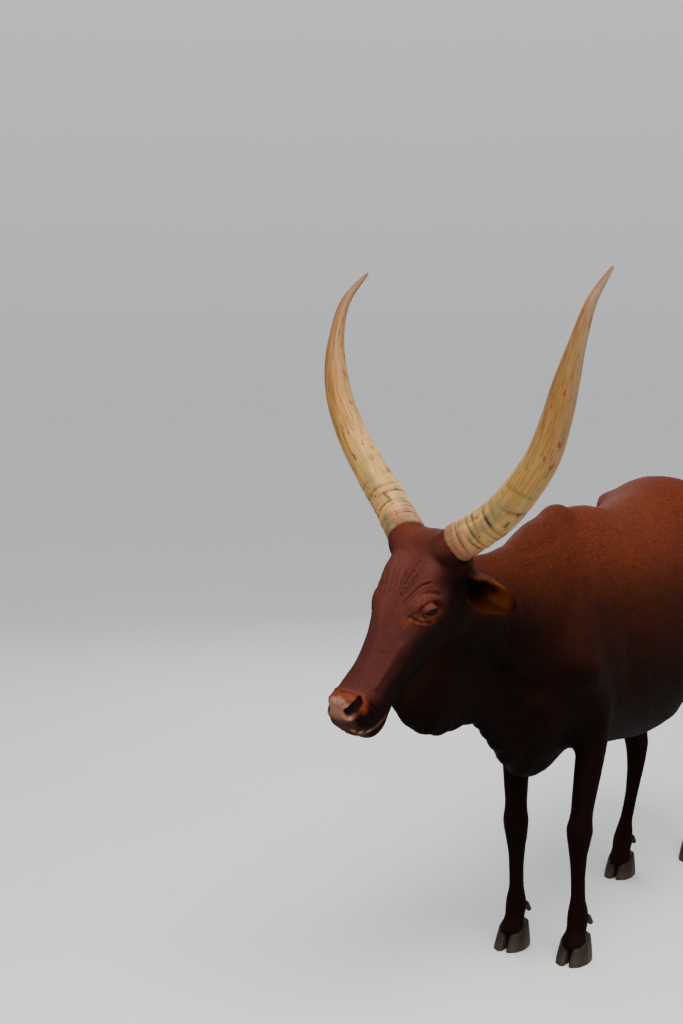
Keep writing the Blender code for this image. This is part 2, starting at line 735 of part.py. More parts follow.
def make_ear_roots(home):
    """Short stumps on the head that the ears stand on."""
    stumps = []
    for side in (1, -1):
        root, along, opening = ear_frame(side)
        centre = root + opening * 0.0105
        stumps.append(frustum("ear_root", centre - along * 0.05, centre + along * 0.012, 0.030, 0.0225, home))
    return stumps


def ear_cutters(home):
    """Clears the flesh from where each ear stands, in a cone a little wider than the ear."""
    cutters = []
    for side in (1, -1):
        root, along, opening = ear_frame(side)
        across = along.cross(opening)
        rings = []
        for far, shift, radius in ((0, 0.0105, 0.0235), (0.045, 0.021, 0.0405)):
            centre = root + along * far + opening * shift
            rings.append(rounded_ring(centre, across, opening, radius, radius, radius, 2, 2, 20))
        cutters.append(loft("ear_cut", rings, home))
    return cutters


def make_horn(name, side, home):
    """A horn swept along its way, with a few shallow rings near its base."""
    points = horn_points(side)
    last = len(points) - 1
    radius = profile([(k, place[3]) for k, place in enumerate(HORN_WAY)])
    start = (way_at(points, 0.3) - points[0]).normalized()
    across = start.cross(Vector((0, 0, 1))).normalized()
    rings = []
    for t in np.linspace(0, last, 24):
        here = way_at(points, t)
        along = start
        if t > 0:
            along = (way_at(points, min(t + 0.05, last)) - way_at(points, t - 0.05)).normalized()
        across = (across - along * across.dot(along)).normalized()
        up = along.cross(across)
        r = radius(t) * (1 + 0.012 * math.sin(t * 8) * (t < 3))
        rings.append(rounded_ring(here + start * GAP, across, up, r, r, r, 2, 2, 14))
    return loft(name, rings, home)


def horn_cutters(home):
    cutters = []
    for side in (1, -1):
        points = horn_points(side)
        way = (way_at(points, 0.3) - points[0]).normalized()
        cutters.append(slab("horn_cut", points[0] + way * 0.05, way, 0.066, home, 0.1))
    return cutters


def make_udder(home, grow=0.0):
    """A small dry udder between the thighs, with four teats when it isn't a cutter."""
    centre = Vector(UDDER_PLACE)
    radii = [r + grow for r in UDDER_RADII]
    bag = ellipsoid("udder", centre, radii, home, segments=16)
    if grow:
        return bag
    teats = []
    for x in (0.035, -0.035):
        for y in (0.026, -0.026):
            top = centre + Vector((x, y, -UDDER_RADII[2] * 0.72))
            tip = top + Vector((0.004, y * 0.15, -0.042))
            teats.append(frustum("teat", top, tip, 0.0095, 0.0065, home, 10))
    join(bag, teats)
    return bag


def join(obj, pieces):
    """Fuses closed pieces into the object with one union."""
    group = bpy.data.collections.new("joined")
    for piece in pieces:
        group.objects.link(piece)
    modifier = obj.modifiers.new("Join", "BOOLEAN")
    modifier.operation = "UNION"
    modifier.operand_type = "COLLECTION"
    modifier.collection = group
    modifier.solver = "MANIFOLD"
    applied(obj)
    for piece in pieces:
        bpy.data.objects.remove(piece)
    bpy.data.collections.remove(group)


def all_legs():
    for kind, table in (("foreleg", FORE_JOINTS), ("hindleg", HIND_JOINTS)):
        for word, side in (("left", 1), ("right", -1)):
            yield kind, word, [Vector((x, side * y, z)) for x, y, z in table[word]]


def coronet(joints):
    """The middle of the foot's top and the normal of the slope there."""
    centre = Vector((joints[-1].x, joints[-1].y, CORONET_HEIGHT))
    return centre, Vector((math.sin(CORONET_SLOPE), 0, math.cos(CORONET_SLOPE)))


def make_claw(name, joints, inner, home):
    """One half of a foot: sloped on top, flat below, rounded outside and straight at the cleft."""
    centre, normal = coronet(joints)
    toe_in = CLEFT / 2
    outline = [
        (-0.046, toe_in), (-0.010, toe_in), (0.030, toe_in), (0.064, toe_in + 0.004),
        (0.069, toe_in + 0.014), (0.052, CLAW_WIDTH * 0.80), (0.020, CLAW_WIDTH + toe_in * 0.5),
        (-0.015, CLAW_WIDTH + toe_in * 0.4), (-0.040, CLAW_WIDTH * 0.88), (-0.051, CLAW_WIDTH * 0.5),
    ]
    rings = []
    for share, long, wide in ((0.0, 1.0, 1.0), (0.12, 1.0, 1.0), (0.55, 0.86, 0.94), (1.0, 0.70, 0.84)):
        ring = []
        for x, y in outline:
            px = centre.x - 0.002 + x * long - 0.012 * share
            py = centre.y + inner * (toe_in + (y - toe_in) * wide)
            top = centre.z - GAP - (px - centre.x) * normal.x / normal.z
            ring.append(Vector((px, py, top * share)))
        rings.append(ring)
    return loft(name, rings, home)


def dewclaw_places():
    """Where each pair of dewclaws stands behind its fetlock, and the way they point."""
    for kind, word, joints in all_legs():
        fetlock = joints[-2]
        for part, inner in (("outer", 1), ("inner", -1)):
            side = inner if word == "left" else -inner
            root = fetlock + Vector((-0.024, 0.019 * side, -0.010))
            yield f"{kind}_{word}_dewclaw_{part}", root, Vector((-0.62, 0.22 * side, -0.75)).normalized()


def make_dewclaw(name, root, way, home, grow=0.0):
    return frustum(name, root, root + way * (0.030 + grow), 0.0125 + grow, 0.0075 + grow, home, 12)


def make_switch(home):
    """The brush of the tail: a slim core with flat, tapered locks that bend and hang over it."""
    rng = np.random.default_rng(7)
    top = Vector(SWITCH_TOP) + Vector((0, 0, -GAP))
    core_radius = profile([(0, 0.0145), (0.15, 0.019), (0.5, 0.021), (0.8, 0.013), (1, 0.005)])
    rings = []
    for t in np.linspace(0, 1, 9):
        here = top + Vector((0.004 * t, 0.004 * t, -t * SWITCH_LENGTH * 0.62))
        rings.append(rounded_ring(here, (0, 1, 0), (1, 0, 0), core_radius(t), core_radius(t),
                                  core_radius(t), 2, 2, 12))
    core = loft("tail_switch", rings, home)
    locks = []
    for k in range(SWITCH_LOCKS):
        turn = k * 2.399963 + rng.uniform(-0.2, 0.2)
        start = 0.03 + 0.50 * (k / SWITCH_LOCKS)
        reach = SWITCH_LENGTH * rng.uniform(0.40, 0.50) * (0.85 + 0.3 * k / SWITCH_LOCKS)
        out = Vector((math.cos(turn), math.sin(turn), 0))
        side = Vector((-out.y, out.x, 0))
        root = top + Vector((0, 0, -start * SWITCH_LENGTH)) + out * core_radius(start / 0.62) * 0.45
        bow = rng.uniform(0.010, 0.022)
        sway = rng.uniform(-0.016, 0.016)
        strip = []
        for t in np.linspace(0, 1, 6):
            drop = Vector((0, 0, -reach * t))
            here = root + drop + out * (bow * math.sin(math.pi * min(t * 1.15, 1)) - 0.008 * t * t)
            here += side * sway * t * t
            wide = 0.0125 * (0.75 + 0.5 * math.sin(math.pi * t)) * (1 - t) ** 0.6 + 0.0012
            thick = 0.0042 * (1 - 0.75 * t)
            strip.append([here + side * wide, here + out * thick, here - side * wide, here - out * thick])
        locks.append(loft("lock", strip, home))
    join(core, locks)
    return keep_largest(core, home)


def keep_largest(obj, home):
    """Drops every closed surface of the object but its largest."""
    name = obj.name
    parts = loose_parts(obj, home)
    parts.sort(key=lambda part: len(part.data.polygons))
    for part in parts[:-1]:
        bpy.data.objects.remove(part)
    parts[-1].name = name
    return parts[-1]


def bent_sheet(name, way, x_low, x_high, home):
    """A sheet as thin as the gap that follows a bent line of (y, z) places, drawn out along X."""
    line = [Vector((0, y, z)) for y, z in way]
    offset = []
    for i, here in enumerate(line):
        ends = [(line[i + 1] - here).normalized()] if i + 1 < len(line) else []
        ends += [(here - line[i - 1]).normalized()] if i else []
        along = sum(ends, Vector()).normalized()
        side = Vector((0, -along.z, along.y))
        share = max(side.dot(Vector((0, -ends[0].z, ends[0].y))), 0.5)
        offset.append(side * (GAP / 2 / share))
    edge = [p + o for p, o in zip(line, offset)] + [p - o for p, o in zip(line, offset)][::-1]
    rings = [[Vector((x, p.y, p.z)) for p in edge] for x in (x_low, x_high)]
    return loft(name, rings, home)


def leg_cutters(home):
    """Cuts at the elbow, knee, stifle, hock and coronet of each leg."""
    cutters = []
    for kind, word, joints in all_legs():
        side = 1 if word == "left" else -1
        centre, normal = coronet(joints)
        cutters.append(slab("coronet_cut", centre - normal * 0.05, normal, 0.07, home, 0.10))
        if kind == "foreleg":
            inner = side * FORE_CUT_INSET[word]
            way = [(inner, 0.44), (inner, 0.555), (side * 0.10, 0.578), (side * 0.15, 0.622),
                   (side * 0.25, 0.71)]
            cutters.append(bent_sheet("elbow_cut", way, joints[2].x - 0.15, joints[2].x + 0.17, home))
            knee = joints[3].lerp(joints[4], 0.22)
            cutters.append(slab("knee_cut", knee, joints[3] - joints[4], 0.065, home))
        else:
            stifle = joints[1].lerp(joints[2], 0.40) + Vector((-0.03, 0, 0.0165))
            cutters.append(slab("stifle_cut", stifle, (0.55, 0, 1), (0.24, 0.108), home))
            hock = joints[2].lerp(joints[3], 0.22)
            cutters.append(slab("hock_cut", hock, joints[2] - joints[3], 0.06, home))
    return cutters


def trunk_cutters(home):
    """Cuts behind the head, before the shoulders and through the root of the tail."""
    turn = Matrix.Rotation(HEAD_TURN, 3, "Z")
    nape = POLL + turn @ Vector((-0.088, 0, -0.20))
    cutters = [slab("nape_cut", nape, turn @ Vector((1, 0, -0.19)), (0.42, 0.30), home)]
    cutters.append(slab("neck_cut", (0.215, 0, 0.9), (1, 0, 0.42), (0.50, 0.30), home))
    cutters.append(slab("tail_cut", TAIL_CUT, (0, 0, 1), 0.05, home))
    below = Vector(SWITCH_TOP) - Vector((0, 0, 0.05))
    cutters.append(slab("switch_cut", below, (0, 0, 1), 0.05, home, 0.1))
    return cutters


def node_name(centre):
    """The name of the part of the cut flesh whose middle is at centre."""
    x, y, z = centre
    side = "left" if y > 0 else "right"
    if x > 0.50:
        return "head"
    if x < -1.22 and z > 0.7:
        return "tail_dock"
    if z > 0.75:
        return "neck" if x > 0.1 else "torso"
    kind = "foreleg" if x > -0.4 else "hindleg"
    return f"{kind}_{side}_{'upper' if z > 0.30 else 'lower'}"


def middle_of(obj):
    """The middle of the object's surface."""
    total = Vector()
    area = 0.0
    for face in obj.data.polygons:
        total += face.center * face.area
        area += face.area
    return total / area


def make_flesh(cuts):
    pieces = make_trunk(cuts) + make_neck(cuts) + make_dewlap(cuts) + make_legs(cuts)
    pieces += make_head(cuts) + make_pedestals(cuts) + make_ear_roots(cuts) + make_tail_root(cuts)
    flesh = fuse(pieces, "flesh", VOXEL, cuts)
    soften(flesh, softness, 110)
    thin_out(flesh, BODY_TRIANGLES, head_share)
    thin_out(flesh, HEAD_TRIANGLES, lambda co: 1.0 - head_share(co))
    join(flesh, make_lids(cuts))
    cutters = horn_cutters(cuts) + ear_cutters(cuts) + nostril_cutters(cuts) + eye_cutters(cuts)
    cutters += [mouth_cutter(cuts), make_udder(cuts, GAP)]
    for _, root, way in dewclaw_places():
        cutters.append(make_dewclaw("dewclaw_seat", root, way, cuts, GAP))
    cutters += leg_cutters(cuts) + trunk_cutters(cuts)
    boolean(flesh, cutters)
    return loose_parts(flesh, cuts)


def sort_flesh(parts, home, cuts):
    """Names the cut flesh, and drops the scraps."""
    kept = {}
    for part in parts:
        name = node_name(middle_of(part))
        if name not in kept or len(part.data.polygons) > len(kept[name].data.polygons):
            kept[name] = part
    for part in parts:
        name = node_name(middle_of(part))
        if kept[name] is part:
            part.name = name
            cuts.objects.unlink(part)
            home.objects.link(part)
    for part in parts:
        if part.name.startswith("loose_"):
            bpy.data.objects.remove(part)


def make_hard_parts(home):
    for word, side in (("left", 1), ("right", -1)):
        ellipsoid(f"eye_{word}", eye_centre(side), (EYE_RADIUS,) * 3, home, segments=16)
        make_horn(f"horn_{word}", side, home)
        make_ear(f"ear_{word}", side, home)
    for kind, word, joints in all_legs():
        for part, inner in (("outer", 1), ("inner", -1)):
            side = inner if word == "left" else -inner
            make_claw(f"{kind}_{word}_claw_{part}", joints, side, home)
    for name, root, way in dewclaw_places():
        make_dewclaw(name, root, way, home)
    make_udder(home)
    make_switch(home)


def finish_of(name):
    """The colour and roughness of a node."""
    if name.startswith("horn"):
        return (0.55, 0.44, 0.27), 0.45
    if name.startswith("eye"):
        return (0.02, 0.012, 0.008), 0.08
    if "claw" in name:
        return (0.035, 0.026, 0.022), 0.5
    if name == "udder":
        return (0.30, 0.14, 0.10), 0.6
    if name == "tail_switch":
        return (0.06, 0.02, 0.012), 0.7
    return (0.13, 0.030, 0.016), 0.6


def settle(home):
    """Moves all nodes together so that the middle of the box's bottom is at the origin."""
    low = Vector((math.inf,) * 3)
    high = Vector((-math.inf,) * 3)
    for obj in home.objects:
        co = coordinates(obj.data)
        low = Vector(map(min, low, co.min(0)))
        high = Vector(map(max, high, co.max(0)))
    shift = Vector((-(low.x + high.x) / 2, -(low.y + high.y) / 2, -low.z))
    for obj in home.objects:
        obj.data.transform(Matrix.Translation(shift))
    return shift


clear_scene()
animal = new_collection("ankole watusi cow")
workshop = new_collection("cutters")
workshop.hide_render = True
sort_flesh(make_flesh(workshop), animal, workshop)
make_hard_parts(animal)
for node in animal.objects:
    node.data.materials.clear()
    node.data.materials.append(material(node.name, *finish_of(node.name)))
shift = settle(animal)
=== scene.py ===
import json
import math

import bmesh
import bpy
import numpy as np
from mathutils import Matrix, Vector
from mathutils.bvhtree import BVHTree

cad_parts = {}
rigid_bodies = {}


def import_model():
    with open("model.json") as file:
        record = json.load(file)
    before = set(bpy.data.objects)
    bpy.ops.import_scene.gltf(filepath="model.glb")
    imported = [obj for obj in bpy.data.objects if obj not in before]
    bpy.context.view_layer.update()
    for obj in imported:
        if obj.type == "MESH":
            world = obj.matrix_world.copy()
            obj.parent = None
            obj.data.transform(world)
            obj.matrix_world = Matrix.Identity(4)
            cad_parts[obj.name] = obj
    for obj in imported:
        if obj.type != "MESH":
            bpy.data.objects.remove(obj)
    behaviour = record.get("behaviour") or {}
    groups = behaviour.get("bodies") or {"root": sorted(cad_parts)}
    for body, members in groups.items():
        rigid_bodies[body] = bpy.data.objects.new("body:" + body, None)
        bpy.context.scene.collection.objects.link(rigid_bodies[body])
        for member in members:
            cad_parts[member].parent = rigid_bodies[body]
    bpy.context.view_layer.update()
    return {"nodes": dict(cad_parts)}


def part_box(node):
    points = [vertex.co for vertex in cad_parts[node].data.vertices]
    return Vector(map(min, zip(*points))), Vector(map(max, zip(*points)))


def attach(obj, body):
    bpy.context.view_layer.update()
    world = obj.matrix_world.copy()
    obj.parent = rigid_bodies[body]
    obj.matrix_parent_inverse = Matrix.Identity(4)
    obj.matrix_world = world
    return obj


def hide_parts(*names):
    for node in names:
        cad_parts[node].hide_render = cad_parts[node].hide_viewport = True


for leftover in list(bpy.data.objects):
    bpy.data.objects.remove(leftover)

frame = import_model()
nodes = frame["nodes"]

# The head's place and the eyes' in its own frame: X down the face, Y to its left, Z out of the forehead
headPose = {
    "poll": Vector((0.60, -0.064, 1.272)),
    "turn": math.radians(-21),
    "pitch": math.radians(52),
    "roll": math.radians(-2.2),
    "eye": Vector((0.202, 0.0825, -0.043)),
    "eyeRadius": 0.0205,
}


def headMatrix():
    turn = Matrix.Rotation(headPose["turn"], 4, "Z")
    pitch = Matrix.Rotation(headPose["pitch"], 4, "Y")
    roll = Matrix.Rotation(headPose["roll"], 4, "X")
    return Matrix.Translation(headPose["poll"]) @ turn @ pitch @ roll


def boxMiddle(node):
    low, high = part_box(node)
    return (low + high) / 2


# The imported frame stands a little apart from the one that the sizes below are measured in
bodyShift = boxMiddle("eye_left") - headMatrix() @ headPose["eye"]
headPlace = Matrix.Translation(bodyShift) @ headMatrix()
headTurn = headPlace.to_3x3()
sideTurn = Matrix.Rotation(headPose["turn"], 3, "Z")
sides = (1, -1)    # left and right

# The camera, at the height and angle of the photo
view = {
    "place": (4.101, 1.691, 1.64), "down": 4.7, "heading": 120, "lens": 54.49, "sensor": 36, "far": 60,
    "pixels": 1550.0, "middle": (341.5, 512),
}


def addObject(name, data, place=(0, 0, 0), turn=(0, 0, 0)):
    made = bpy.data.objects.new(name, data)
    made.location = place
    made.rotation_euler = turn
    bpy.context.scene.collection.objects.link(made)
    return made


def addCamera():
    data = bpy.data.cameras.new("camera")
    data.lens = view["lens"]
    data.sensor_width = view["sensor"]
    data.clip_end = view["far"]
    turn = (math.radians(90 - view["down"]), 0, math.radians(view["heading"]))
    bpy.context.scene.camera = addObject("camera", data, Vector(view["place"]) + bodyShift, turn)
    return bpy.context.scene.camera


camera = addCamera()


def sightLine(px, py):
    # the ray through a point of the photo's frame
    across, down = view["middle"]
    way = Vector(((px - across) / view["pixels"], (down - py) / view["pixels"], -1))
    return camera.location, (camera.rotation_euler.to_matrix() @ way).normalized()


# Small helpers for meshes

def objectFrom(bm, name):
    mesh = bpy.data.meshes.new(name)
    bm.to_mesh(mesh)
    bm.free()
    return addObject(name, mesh)


def bakeModifiers(piece):
    graph = bpy.context.evaluated_depsgraph_get()
    graph.update()
    mesh = bpy.data.meshes.new_from_object(piece.evaluated_get(graph))
    piece.modifiers.clear()
    piece.data = mesh
    return piece


def readField(items, field, width, kind=np.float32):
    flat = np.empty(len(items) * width, kind)
    items.foreach_get(field, flat)
    return flat.reshape(-1, width)


def places(mesh):
    return readField(mesh.vertices, "co", 3).astype(float)


def outward(mesh):
    return readField(mesh.vertex_normals, "vector", 3).astype(float)


def setPlaces(mesh, co):
    mesh.vertices.foreach_set("co", co.astype(np.float32).ravel())
    mesh.update()


def shadeSmooth(mesh):
    mesh.polygons.foreach_set("use_smooth", np.ones(len(mesh.polygons), bool))


def giveValue(mesh, name, values):
    mesh.attributes.new(name, "FLOAT", "POINT").data.foreach_set("value", np.asarray(values, np.float32))


def joinedSolids(parts):
    bm = bmesh.new()
    for part in parts:
        bm.from_mesh(nodes[part].data)
    bmesh.ops.remove_doubles(bm, verts=bm.verts, dist=1e-6)
    return bm


def evenPiece(bm, name, voxel):
    # one closed surface of even faces
    piece = objectFrom(bm, name)
    remesh = piece.modifiers.new("Even", "REMESH")
    remesh.mode = "VOXEL"
    remesh.voxel_size = voxel
    return bakeModifiers(piece)


def closeUp(bm, apart):
    # joins points nearer than apart, closes open ends and turns the faces outward
    bmesh.ops.remove_doubles(bm, verts=bm.verts, dist=apart)
    bmesh.ops.holes_fill(bm, edges=[edge for edge in bm.edges if edge.is_boundary], sides=0)
    bmesh.ops.recalc_face_normals(bm, faces=bm.faces)
    if bm.calc_volume(signed=True) < 0:
        bmesh.ops.reverse_faces(bm, faces=bm.faces)


def repeated(name, spots, pattern, starts, uv):
    # a mesh of many small strips, from each one's points, the corners of its faces and where each starts
    count, points = spots.shape[:2]
    strip = np.arange(count)[:, None]
    mesh = bpy.data.meshes.new(name)
    mesh.vertices.add(count * points)
    mesh.vertices.foreach_set("co", spots.astype(np.float32).ravel())
    mesh.loops.add(count * len(pattern))
    mesh.loops.foreach_set("vertex_index", (strip * points + pattern).astype(np.int32).ravel())
    mesh.polygons.add(count * len(starts))
    mesh.polygons.foreach_set("loop_start", (strip * len(pattern) + starts).astype(np.int32).ravel())
    mesh.update(calc_edges=True)
    shadeSmooth(mesh)
    mesh.uv_layers.new(name="OFBake").data.foreach_set("uv", uv.astype(np.float32).ravel())
    return addObject(name, mesh)


def smoothStep(value, low, high):
    # 0 up to low, and softly up to 1 at high
    t = np.clip((value - low) / (high - low), 0, 1)
    return t * t * (3 - 2 * t)


def below(value, low, high):
    # 1 up to low, and softly down to 0 at high
    return smoothStep(-value, -high, -low)


def hump(far, width):
    # 1 in the middle, and softly down to 0 past the width
    return np.exp(-(far / width) ** 2)


def blend(first, second, share):
    # the first where the share is 0, and the second where it is 1
    return first * (1 - share) + second * share


def distance(co, spot):
    return np.linalg.norm(co - np.array(spot), axis=1)


def unit(ways):
    return ways / np.maximum(np.linalg.norm(ways, axis=1), 1e-6)[:, None]


def alongSkin(ways, normal):
    return unit(ways - normal * (ways * normal).sum(1)[:, None])


def relax(mesh, share, rounds, pulls=(0.6, -0.4)):
    # moves points towards their neighbours' middle and part way back, so that forms keep their size
    co = places(mesh)
    ends = readField(mesh.edges, "vertices", 2, np.int32)
    here, there = np.concatenate([ends, ends[:, ::-1]]).T.copy()
    count = np.maximum(np.bincount(here, minlength=len(co)), 1)[:, None]
    share = share(co)[:, None] if callable(share) else share
    for pull in pulls * rounds:
        middle = np.stack([np.bincount(here, co[there, k], len(co)) for k in range(3)], 1) / count
        co = co + (middle - co) * pull * share
    setPlaces(mesh, co)


def profile(pairs):
    # a smooth curve through (place, value) pairs, which takes arrays
    pairs = sorted(pairs)
    at = np.array([p for p, _ in pairs], float)
    value = np.array([v for _, v in pairs], float)
    slope = np.gradient(value, at)

    def read(place):
        place = np.clip(place, at[0], at[-1])
        i = np.clip(np.searchsorted(at, place) - 1, 0, len(at) - 2)
        width = at[i + 1] - at[i]
        t = (place - at[i]) / width
        return (value[i] * (1 + 2 * t) * (1 - t) ** 2 + slope[i] * width * t * (1 - t) ** 2
                + value[i + 1] * t * t * (3 - 2 * t) + slope[i + 1] * width * t * t * (t - 1))

    return read


def wayAt(points, t):
    # the point at t, from 0 to len(points) - 1, on a smooth line through the points
    last = len(points) - 1
    i = min(int(t), last - 1)
    a, b, c, d = (Vector(points[min(max(k, 0), last)]) for k in range(i - 1, i + 3))
    f = t - i
    bend = (c - a) * f * (1 - f) ** 2 / 2 + (d - b) * f * f * (f - 1) / 2
    return b * (1 + 2 * f) * (1 - f) ** 2 + c * f * f * (3 - 2 * f) + bend


def smoothWay(points, steps):
    return np.array([wayAt(points, t) for t in np.linspace(0, len(points) - 1, steps)])


def nearWay(co, way):
    # how far each point is from a line of points, and how far along it
    best = np.full(len(co), 9.0)
    along = np.zeros(len(co))
    for i in range(len(way) - 1):
        start, step = way[i], way[i + 1] - way[i]
        t = np.clip((co - start) @ step / max(step @ step, 1e-12), 0, 1)
        far = np.linalg.norm(co - start - t[:, None] * step, axis=1)
        closer = far < best
        best[closer] = far[closer]
        along[closer] = (i + t[closer]) / (len(way) - 1)
    return best, along


def inBody(co):
    return co - np.array(bodyShift)


def moved(co, matrix):
    matrix = np.array(matrix)
    return co @ matrix[:3, :3].T + matrix[:3, 3]


def inHead(co):
    return moved(co, headPlace.inverted())


def fromHead(co):
    return moved(co, headPlace)


def onSide(place, side):
    # a place on the left, or its twin on the right
    x, y, z = place
    return Vector((x, side * y, z))


# The eyes' openings, in the plane of each eye

eyePlan = {
    "halfLength": 0.0200, "above": 0.0084, "below": 0.0054, "lidThick": 0.0028, "sunk": 0.0045,
    "facing": (0.06, 1, 0.10), "corner": (0.77, 0, 0.64),
    # folds of the upper and lower lid: which lid, how far from the rim, width and height
    "folds": ((1, 0.0085, 0.0056, 0.0026), (1, 0.0205, 0.0045, -0.0012),
              (-1, 0.0060, 0.0034, 0.0012), (-1, 0.0125, 0.0022, -0.0014)),
}
eyeSpots = {side: headPlace @ onSide(headPose["eye"], side) for side in sides}


def eyeFrame(side):
    out = headTurn @ onSide(eyePlan["facing"], side).normalized()
    corner = headTurn @ Vector(eyePlan["corner"]).normalized()
    corner = (corner - out * corner.dot(out)).normalized()
    return eyeSpots[side], out, corner, corner.cross(out) * -side


def toEyes(co):
    return np.minimum(*(distance(co, eyeSpots[side]) for side in sides))


def lidEdges(u):
    # the upper and lower rim at u along the opening
    share = np.clip(1 - (u / eyePlan["halfLength"]) ** 2, 0, 1)
    return eyePlan["above"] * share ** 0.72, -eyePlan["below"] * share ** 0.80


# The ears: leaf-shaped cups, nearly a tube at the root and open and flat towards the tip

earPlan = {
    "length": 0.150, "thickness": 0.0042, "rootDepth": 0.03, "columns": 56, "rows": 44,
    "place": Vector((0.057, 0.106, -0.092)),
    "lean": {1: -0.03, -1: -0.60},    # how far each ear points back
    "opening": (0.85, 0.25, -0.25),
}
earWidth = profile([(0, 0.021), (0.18, 0.029), (0.42, 0.045), (0.62, 0.047), (0.84, 0.036), (0.95, 0.024),
                    (1.0, 0.010)])
earWrap = profile([(0, 152), (0.2, 140), (0.45, 115), (0.75, 85), (1.0, 50)])
earHollow = profile([(0.0, 0.10), (0.05, 0.14), (0.14, 0.72), (0.25, 1.0), (1.0, 1.0)])
earDroop = profile([(0, 0.0), (0.5, 0.004), (1.0, -0.016)])


def earFrame(side):
    root = headPlace @ onSide(earPlan["place"], side)
    along = sideTurn @ Vector((earPlan["lean"][side], side * 0.90, -0.50)).normalized()
    opening = sideTurn @ onSide(earPlan["opening"], side)
    opening = (opening - along * opening.dot(along)).normalized()
    return root, along, opening


def earCup(side, t):
    # half the angle that the wall spans, its radius and its middle, at t from the root to the tip
    root, along, opening = (np.array(part) for part in earFrame(side))
    spread = np.radians(earWrap(t))
    radius = earWidth(t) / np.sin(np.minimum(spread, math.pi / 2))
    middle = root + t[:, None] * earPlan["length"] * along + (radius * 0.5 + earDroop(t))[:, None] * opening
    return spread, radius, middle


# The skin: one closed surface in place of all the flesh

skinPlan = {
    "voxel": 0.0065,
    "coatDepth": 0.0015,     # how far it lies inside the solids
    "fleshRounds": 14,
    # the share of its faces that the trunk keeps, above this height and ahead of this place
    "trunkKept": 0.47, "trunkAbove": 0.545, "trunkAhead": -1.26,
    # where faces are split once: the muzzle, past this place and this near the middle, and round the eyes
    "muzzle": (0.40, 0.12), "roundEyes": 0.075,
    # where they are split twice: round the eyes, the lips and the nostrils
    "nearEyes": 0.034, "nearLips": 0.020, "nostrils": (0.512, 0.05, -0.03), "nearNostrils": 0.036,
    # balls that fill the solids' nostrils, mouth line and eye openings before they are carved finer
    "nostrilFill": (((0.515, 0.039, -0.038), 0.0165), ((0.497, 0.0525, -0.027), 0.010)),
    "mouthFill": ((0.490, 0.0, -0.105), (0.058, 0.046, 0.018), -23),
    "lidFill": (0.022, 0.0125, 0.011),
    "earFill": 0.0235,
}
fleshNodes = ["head", "neck", "torso", "tail_dock"]
fleshNodes += [f"{kind}_{side}_{part}" for kind in ("foreleg", "hindleg")
               for side in ("left", "right") for part in ("upper", "lower")]


def addBall(bm, centre, radii, turn=None):
    place = Matrix.Translation(centre)
    if turn is not None:
        place = place @ turn.to_4x4()
    bmesh.ops.create_uvsphere(bm, u_segments=24, v_segments=12, radius=1.0,
                              matrix=place @ Matrix.Diagonal((*radii, 1.0)))


def makeSkin():
    bm = joinedSolids(fleshNodes)
    for side in sides:
        spot, out, corner, rise = eyeFrame(side)
        addBall(bm, spot - out * 0.003, (headPose["eyeRadius"] + 0.002,) * 3)
        addBall(bm, spot + out * 0.007, skinPlan["lidFill"], Matrix((corner, rise, out)).transposed())
        for place, size in skinPlan["nostrilFill"]:
            addBall(bm, headPlace @ onSide(place, side), (size,) * 3)
        root, along, opening = earFrame(side)
        addBall(bm, root - along * 0.006 + opening * 0.0105, (skinPlan["earFill"],) * 3)
    place, radii, slope = skinPlan["mouthFill"]
    addBall(bm, headPlace @ Vector(place), radii, headTurn @ Matrix.Rotation(math.radians(slope), 3, "Y"))
    return evenPiece(bm, "skin", skinPlan["voxel"])


def headness(co):
    # 1 on the head and 0 behind it
    h = inHead(co)
    return smoothStep(h[:, 0] - 0.35 * h[:, 2] - 0.02, -0.09, -0.02) * (co[:, 0] > bodyShift.x + 0.3)


def legness(co):
    return 1 - smoothStep(co[:, 2], 0.50, 0.62)


def thinTrunk():
    # fewer faces where the form is broad and even
    co = places(skin.data)
    ahead = bodyShift.x + skinPlan["trunkAhead"]
    broad = (headness(co) < 0.02) & (co[:, 2] > skinPlan["trunkAbove"]) & (co[:, 0] > ahead)
    skin.vertex_groups.new(name="broad").add(np.nonzero(broad)[0].tolist(), 1.0, "REPLACE")
    decimate = skin.modifiers.new("Thin", "DECIMATE")
    decimate.ratio = skinPlan["trunkKept"]
    decimate.vertex_group = "broad"
    decimate.vertex_group_factor = 10.0
    bakeModifiers(skin)
    skin.vertex_groups.clear()


def refine(chosen):
    # splits the chosen faces in four
    bm = bmesh.new()
    bm.from_mesh(skin.data)
    pick = chosen(np.array([face.calc_center_median() for face in bm.faces]))
    edges = {edge for face, wanted in zip(bm.faces, pick) if wanted for edge in face.edges}
    bmesh.ops.subdivide_edges(bm, edges=list(edges), cuts=1, use_grid_fill=True)
    bm.to_mesh(skin.data)
    bm.free()
    skin.data.update()


skin = makeSkin()
print("skin laid over the solids", len(skin.data.polygons))
relax(skin.data, lambda co: 1 - 0.5 * headness(co), skinPlan["fleshRounds"])
thinTrunk()
print("trunk thinned", len(skin.data.polygons))


